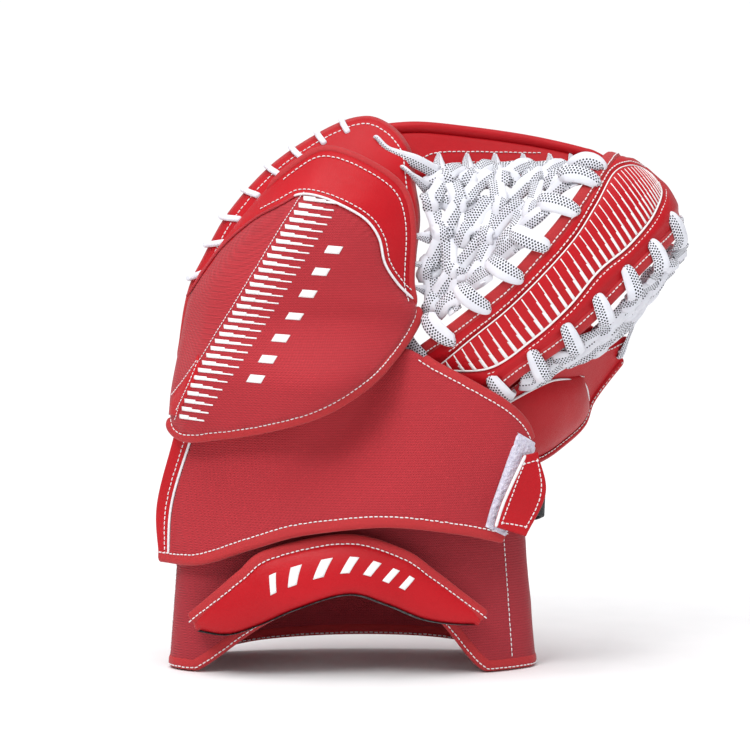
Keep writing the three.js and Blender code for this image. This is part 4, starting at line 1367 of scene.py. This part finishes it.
def strand(batch, surface, u, v, lift, width, flip=1.0, twist=0.0, pinch=0.0, count=None, thick=1.3):
    """A flat lace through (u, v) points of a surface at the given lifts."""
    key = np.stack([u, v, np.asarray(lift, float) * np.ones(len(u))], 1)
    count = count or max(len(u) * 8, 12)
    line = curve(key, lean=False)(np.linspace(0, 1, count))
    a, b = np.clip(line[:, 0], 0, 1), np.clip(line[:, 1], 0, 1)
    n = normals(surface, a, b)
    n = n * np.where(n @ VIEWER < 0, -1.0, 1.0)[:, None]
    path = surface(a, b) + n * line[:, 2:3]
    n = unit(n + 1.1 * VIEWER)
    t = np.linspace(0, 1, count)
    wide = width * (1 - pinch * (0.5 + 0.5 * np.cos(2 * np.pi * t * (len(u) - 1))))
    turn = twist * np.sin(np.pi * t * (len(u) - 1) + 0.5)
    points, faces, uv = ribbon_body(path, n, wide, thick, twist=turn, cup=0.4, sides=7)
    uv[:, 0] += rng.uniform(0, 50)
    uv[:, 1] *= flip
    batch.add(points, faces, uv)


def net_laces(surface, rows, cell, width, extra=()):
    """Rows of flat lace across a net, zigzags between them, and a wrap where they touch."""
    batch = Batch()
    either = lambda: 1.0 if rng.random() < 0.5 else -1.0
    for i, v in enumerate(rows):
        span = np.linalg.norm(surface(1.0, v) - surface(0.0, v))
        count = max(int(round(span / cell)), 1) * 2 + 1
        u = np.linspace(0, 1, count)
        side = np.where(np.arange(count) % 2, 1, -1)
        sway = 0.12 * (rows[1] - rows[0]) * side * (rng.random(count) * 0.6 + 0.6)
        lift = np.where((np.arange(count) + i) % 2, 1.8, -1.4)
        strand(batch, surface, u, v + sway, lift, min(width, span * 1.2), either(), 0.25, 0.12, thick=1.0)
    for i, (low, high) in enumerate(zip(rows[:-1], rows[1:])):
        middle, gap = (low + high) / 2, high - low
        span = np.linalg.norm(surface(1.0, middle) - surface(0.0, middle))
        teeth = max(int(round(span / cell)) * 2 - (i % 2), 1)
        u = np.clip(np.linspace(0.02, 0.98, teeth + 1) + rng.normal(0, 0.015, teeth + 1), 0.01, 0.99)
        odd = (np.arange(teeth + 1) + i) % 2
        v = np.where(odd, low - 0.12 * gap, high + 0.12 * gap)
        for k in range(teeth):
            bow = rng.uniform(-0.12, 0.12)
            middle_u = (u[k] + u[k + 1]) / 2
            up = 3.4 if k % 2 else 1.6
            strand(batch, surface, np.array([u[k], middle_u, u[k + 1]]),
                   np.array([v[k], (v[k] + v[k + 1]) / 2 + bow * gap, v[k + 1]]), [0.2, up, 2.8],
                   min(width * rng.uniform(0.92, 1.06), span * 0.9), either(), 0.2, 0.1, 18, 1.0)
        for k in range(teeth + 1):
            if odd[k] and span > 14:
                lean = rng.uniform(-0.35, 0.35) / max(teeth, 1)
                reach = 0.36 * gap
                strand(batch, surface, np.array([u[k] - lean, u[k], u[k] + lean]),
                       np.array([low - reach, low, low + reach]), [0.6, 5.0, 0.6], width * 0.98, either(),
                       0.1, 0.25, 14, 1.0)
    for points, thick, widths in extra:
        path = spline(place(points), 30)
        wide = np.interp(np.linspace(0, 1, 30), np.linspace(0, 1, len(widths)), widths)
        out, faces, uv = ribbon_body(path, np.array([0.1, -1.0, 0.1]), wide, thick, cup=0.4, sides=7)
        batch.add(out, faces, uv)
    return batch


FINGER_ROWS, FINGER_CELL, FINGER_LACE = np.array([0.12, 0.31, 0.49, 0.66, 0.82, 0.97]), 23.0, 12.0
THUMB_ROWS, THUMB_CELL, THUMB_LACE = np.linspace(0.05, 0.97, 7), 22.0, 11.5


# Laces from the finger rim into the net: (x, height) of the hole, of a middle point and of the end
NET_ENDS = (
    ((-31.5, 369), (-22, 361), (-4, 353)), ((-13.3, 348), (-6, 343), (5, 334)),
    ((-11, 299.6), (-3.5, 300), (6, 299)), ((-9.8, 280.5), (-3, 280.5), (6, 279)),
    ((-9, 264.5), (-2.5, 264), (6, 262)),
)
CROSSBAR_HOLES = (12, 32, 52, 72, 91, 106)


def net_ends():
    """The laces that tie the finger net to the rim and to the crossbar, as (points, thickness, widths)."""
    ends = []
    for hole, mid, end in NET_ENDS:
        y = float(shell_depth(*np.array(hole, float))) - SHELL_HALF
        edge = -16.0 if end[1] < 320 else 2.0
        points = [(hole[0], y + 1.5, hole[1]), (hole[0] + 1.5, y - 1.4, hole[1]),
                  (mid[0], min(y, edge) - 3.0, mid[1]), (end[0], edge - 1.0, end[1])]
        wide = (3.0, 3.2, 3.4, 9.0)
        if hole[0] < -30:
            points.append((12, 8, 345))
            wide = (3.0, 3.2, 4.0, 9.5, 9.5)
        ends.append((points, 1.6, wide))
    for x in CROSSBAR_HOLES:
        hole = on_surface(finger_bar, x, 357.0, 3.6)[0] + np.array([0, 0, LEAN])
        hole[2] += LEAN * hole[1]
        front = surface_y(net_finger, x + 2, 345.0)
        points = [hole + np.array([0, 1.2, 1.0]), hole + np.array([0.5, -2.2, 0.5]),
                  (x + 1.5, (hole[1] + front) / 2 - 3, 352), (x + 3, front - 3.5, 343),
                  (x + 4, front - 1.0, 336)]
        ends.append((points, 1.2, (3.0, 3.4, 8.5, 9.5, 8.0)))
    return ends


def make_nets():
    """The laces of both nets, each built on no body and baked in place."""
    net = net_laces(net_finger, FINGER_ROWS, FINGER_CELL, FINGER_LACE, net_ends()).build(
        "net_finger_laces", LACE, None, ["net_finger_side"], "lace",
    )
    to_metres((-4, -16, 290))
    to_metres((26, -24, 290))
    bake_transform(net)
    net = net_laces(net_thumb, THUMB_ROWS, THUMB_CELL, THUMB_LACE).build(
        "net_thumb_laces", LACE, None, ["net_thumb_side"], "lace",
    )
    to_metres((142, -38, 256))
    to_metres((140, 58, 236))
    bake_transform(net)


def tie(batch, start, first, end, last, width):
    """A flat lace that sews two edges together."""
    between = (start + end) / 2 + unit(first + last) * 5.0
    path = spline([start - first, start + first * 4.4, between, end + last * 4.4, end - last], 30)
    up = spline([first, first, unit(first + last), last, last], 30)
    t = np.linspace(0, 1, 30)
    out, faces, uv = ribbon_body(path, up, width * (0.35 + 0.65 * np.sin(np.pi * t) ** 0.6), 1.2, cup=0.5,
                                 sides=7)
    batch.add(out, faces, uv)


def facing(surface, u, v, way):
    """A point of a surface, and its normal on the given side."""
    n = normals(surface, u, v)
    return surface(u, v), n * (1.0 if n @ way > 0 else -1.0)


def make_thumb_bar_ties():
    """Laces that join the thumb crossbar to the tee's end, and to the thumb's tip."""
    batch = Batch()
    side = np.array([1.0, 0.2, 0.2])
    for k in (0.25, 0.75):
        start, first = facing(tee_surface, 0.9, 0.86 + 0.1 * k, side)
        end, last = facing(thumb_bar, 0.1, k, side)
        tie(batch, start, first, end, last, 8.5)
    batch.build("thumb_bar_laces", LACE, "tee", [], "lace")
    batch = Batch()
    for k in (0.3, 0.72):
        start, first = facing(thumb_bar, 0.9, k, side)
        end, last = facing(thumb_back, 0.94, 0.35 + 0.4 * k, side)
        tie(batch, start, first, end, last, 8.0)
    ties = batch.build("thumb_tip_laces", LACE, None, [], "lace")
    to_metres((146, 80, 240))
    to_metres((146, 84, 228))
    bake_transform(ties)


def surface_y(surface, x, h):
    return float(on_surface(surface, x, h)[0][1])


def to_metres(point):
    return ((place(point) - ORIGIN) * MM).tolist()


make_tee()
make_lens()
make_edge_wraps()
make_crossbars()
make_nets()


# ---------------------------------------------------------------- thumb
THUMB_OUTER = [(60, 4, 140), (82, 32, 143), (101, 54, 155), (115, 72, 168), (121, 80, 184), (132, 86, 200),
               (145, 88, 216)]
THUMB_TOP = [(54, -10, 186), (74, 2, 200), (92, 22, 211), (110, 42, 216), (126, 58, 221), (149, 84, 231)]
thumb_back = patch(curve(THUMB_OUTER), curve(THUMB_TOP))


PAD_EDGE = [(0.0, 1.0), (0.3, 1.0), (0.6, 0.99), (0.8, 0.94), (0.93, 0.84), (0.985, 0.68), (1.0, 0.45),
            (0.99, 0.2)]


def pad_surface(u, v):
    """The part of the thumb that its oval pad covers; values over one run on past the pad's edge."""
    return thumb_back(np.clip(0.02 + 0.6 * u, 0, 0.99), np.clip(0.06 + v * (0.86 - 0.24 * u**2), 0.02, 0.965))


def thumb_wall(u, v, depth):
    u, v, depth = arrays(u, v, depth)
    return thumb_back(u, v) + normals(thumb_back, u, v) * (THUMB_DEEP * (depth - 1))[..., None]


THUMB_DEEP = 27.0
thumb_side = lambda u, depth: thumb_wall(u, 0.03, depth)
thumb_tip = lambda v, depth: thumb_wall(0.95, v, depth)


def make_thumb():
    panel("thumb_leather", thumb_back, "thumb", LEATHER, low=-3, high=3, replaces=["thumb_shell"])
    swell = lambda s, t: 3.4 + 8.5 * np.sqrt(np.clip(np.sin(np.pi * s) * np.sin(np.pi * t), 0, 1))
    pad = panel("thumb_oval_pad", pad_surface, "thumb", LEATHER, low=2.4, high=swell, radius=15,
                replaces=["thumb_pad"])
    panel("thumb_palm_leather", thumb_back, "thumb", PALM, u=(0.09, 0.95), low=-30, high=-24,
          replaces=["thumb_palm"])
    panel("thumb_side_leather", thumb_side, "thumb", LEATHER, u=(0.06, 0.97), low=-1.6, high=0.6)
    panel("thumb_tip_leather", thumb_tip, "thumb", LEATHER, u=(0.03, 0.97), low=-1.6, high=0.6)
    for grow, lift, kind in ((1.0, 4.2, "piping"), (1.1, 3.4, "seam")):
        uv = curve([(u * grow, v * grow, 0) for u, v in PAD_EDGE], lean=False)(np.linspace(0, 1, 140))
        path = pad_surface(uv[:, 0], uv[:, 1])
        n = normals(pad_surface, uv[:, 0], uv[:, 1])
        if kind == "piping":
            sweep("thumb_piping", path + n * lift, n, oval(1.7, 1.7, 8), PIPING, "thumb")
        else:
            stitch_row("thumb", path + n * lift, n)
    path, n = on_line(thumb_back, (0, 1), 0.02, 160)
    sweep("thumb_low_roll", path + n * 1.4, n, oval(6.0, 7.6, 12), LEATHER, "thumb", ends=6)
    seam_row(thumb_back, (0.03, 0.97), 0.055, "thumb", 4.4)
    seam_row(thumb_back, (0.5, 0.98), 0.955, "thumb", 3.1)
    for v in (0.08, 0.92):
        seam_row(thumb_back, (0.12, 0.93), v, "thumb", -30.1)


make_thumb()
make_thumb_bar_ties()


# ---------------------------------------------------------------- cuff flap and strap
FLAP_LOW = [(-181, -16, 74), (-154, -40, 72), (-119, -58, 83), (-85, -67, 92), (-28, -71, 99),
            (22, -63, 95), (56, -50, 89)]
FLAP_TOP = [
    (-171, -16, 160), (-139, -36, 170), (-104, -48, 178), (-71, -53, 190), (-40, -45, 207), (-12, -35, 224),
    (13, -42, 211), (38, -47, 197), (59, -44, 184), (72, -36, 170), (78, -30, 152),
]
flap_surface = patch(
    curve(FLAP_LOW), curve(FLAP_TOP), curve([(-181, -16, 74), (-183, -12, 112), (-171, -16, 160)]),
    curve([(56, -50, 89), (71, -42, 118), (78, -30, 152)]),
)


def make_flap():
    pucker = lambda a, b, inset: (
        0.6 * np.sin(a * 190 + 3 * np.sin(a * 21)) * np.exp(-inset / 8.0)
        + 1.3 * np.sin(a * 10 + b * 5) * smooth(inset / 25)
    )
    flap = panel("flap_fabric", flap_surface, "cuff_flap", FABRIC, u=(0.05, 0.995), v=(0.05, 0.985), low=-3,
                 high=3.2, replaces=["cuff_flap"], relief=pucker)
    panel("flap_outer_strip", flap_surface, "cuff_flap", LEATHER, u=(0.0, 0.05), v=(0.03, 1), low=-3,
          high=2.9, replaces=["flap_side_strip"])
    edge_tape("flap_tape_low", flap_surface, (0.0, 1.0), 0.042, "cuff_flap", 9.4, 7.6,
              ["cuff_flap_binding"], count=260, seam=-2.6)
    edge_tape("flap_tape_top", flap_surface, (0.56, 0.955), 0.975, "cuff_flap", 8.6, 7.6, count=160, seam=2.4)
    path, n = on_line(flap_surface, 0.05, (0.07, 0.97), 90)
    sweep("flap_piping", path + n * 3.2, n, oval(1.9, 1.9, 8), PIPING, "cuff_flap")
    seam_row(flap_surface, 0.034, (0.07, 0.97), "cuff_flap", 3.0)
    left = flat_curve(((43, 99), (48, 115), (56, 138), (64.5, 164)), 60)
    right = flat_curve(((57, 92), (70, 118), (75.5, 136), (76.5, 156)), 60)
    a = np.linspace(0, 1, 22)
    where = left[:, None] * (1 - a[None, :, None]) + right[:, None] * a[None, :, None]
    fuzz = 0.28 * rng.normal(size=where.shape[:2])
    edge = np.minimum(1, np.minimum(a, 1 - a)[None] * 8)
    points, faces = surface_slab(flap_surface, where[..., 0], where[..., 1], 3.4 + 1.5 * edge + fuzz, 2.2)
    piece("loop_pile", points, faces, LOOP, "cuff_flap", ["loop_strip"])


TAB_LEFT = [(50, -63, 99), (56, -59, 117), (71, -48, 148)]
TAB_RIGHT = [(72, -55, 92), (86, -46, 122), (80, -42, 150)]
tab_surface = patch(curve([TAB_LEFT[0], TAB_RIGHT[0]]), curve([TAB_LEFT[2], TAB_RIGHT[2]]), curve(TAB_LEFT),
                    curve(TAB_RIGHT))
STRAP_LOW = [
    (71, -49, 106), (79, -44, 106), (84, -36, 105), (85, -18, 104), (85, 2, 103), (82, 17, 101),
    (74, 31, 99), (64, 42, 98),
]
STRAP_TOP = [
    (73, -49, 130), (80, -44, 130), (85, -36, 129), (86, -18, 128), (86, 2, 125), (82, 17, 121),
    (74, 31, 118), (64, 42, 116),
]
strap_surface = patch(curve(STRAP_LOW), curve(STRAP_TOP))


def make_strap():
    panel("tab_leather", tab_surface, "strap", LEATHER, low=-1.8, high=2.0, radius=1.6, pitch=2,
          replaces=["strap_tab"])
    band = panel("strap_band", strap_surface, None, ELASTIC, low=-1.2, high=1.2, pitch=2,
                 replaces=["strap_elastic"])
    to_metres((83, 16, 112))
    to_metres((85.5, 0, 114))
    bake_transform(band)
    path, n = on_line(tab_surface, 0.03, (0, 1), 60)
    sweep("tab_edge", path + n * 1.2, n, oval(2.4, 2.6, 8), PIPING, "strap")
    for u in (0.16, 0.86):
        seam_row(tab_surface, u, (0.1, 0.9), "strap", 2.0, count=60)
    for v in (0.1, 0.9):
        seam_row(tab_surface, (0.18, 0.84), v, "strap", 2.0, count=40)


make_flap()
make_strap()


# ---------------------------------------------------------------- wrist pad
ROLL_LOW = [(-156, -44, 27), (-132, -56, 24), (-110, -62, 31), (-85, -66, 42), (-50, -68, 52),
            (-24, -67, 45), (0, -63, 35), (20, -57, 31), (40, -50, 30)]
ROLL_TOP = [(-158, -44, 34), (-140, -52, 50), (-122, -56, 66), (-104, -57, 80), (-52, -58, 90),
            (-14, -57, 80), (6, -55, 66), (26, -51, 50), (44, -48, 36)]
roll_surface = patch(curve(ROLL_LOW), curve(ROLL_TOP))


ROLL_BARS = 7
ROLL_TOP_V = 0.93


def roll_swell(s, t):
    return 1.2 + 8.4 * np.sqrt(np.clip(np.sin(np.pi * s) * np.sin(np.pi * (0.1 + 0.8 * t)), 0, 1))


def make_wrist_pad():
    roll = panel("wrist_roll_leather", roll_surface, "wrist_pad", LEATHER, v=(0, ROLL_TOP_V), low=-2,
                 high=roll_swell, radius=4, replaces=["wrist_roll"])
    path, n = on_line(roll_surface, (0, 1), 0.965, 260)
    rise = (1.4 + 2.4 * np.sin(np.pi * np.linspace(0, 1, 260)))[:, None]
    sweep("wrist_tape", path + n * rise, n, oval(9.4, 5.4, 14, 2.8), TAPE, "wrist_pad", ["wrist_binding"])
    path, n = on_line(roll_surface, (0, 1), 0.9, 260)
    stitch_row("wrist_pad", path + n * (rise + 2.7), n)
    panel("wrist_mesh", roll_surface, "wrist_pad", MESH, u=(0.02, 0.98), v=(-0.02, 0.95), low=-6, high=-1.6,
          radius=2, replaces=["wrist_lining"])
    batch = Batch()
    for k in range(ROLL_BARS):
        u, v = grid(np.linspace(0, 1, 4), np.linspace(0, 1, 8))
        a = 0.33 + 0.052 * k + 0.02 * u + 0.022 * v
        b = 0.36 + 0.3 * v
        n = normals(roll_surface, a, b)
        lift = roll_swell(a, b / ROLL_TOP_V)
        skin = roll_surface(a, b)
        batch.add(*closed_slab(skin + n * (lift + 0.3)[..., None], skin + n * (lift - 0.6)[..., None]))
    batch.build("wrist_bars", PRINT, "wrist_pad")


make_wrist_pad()

for body, batch in stitches.items():
    if batch.count:
        batch.build(f"stitches_{body}", THREAD, body)
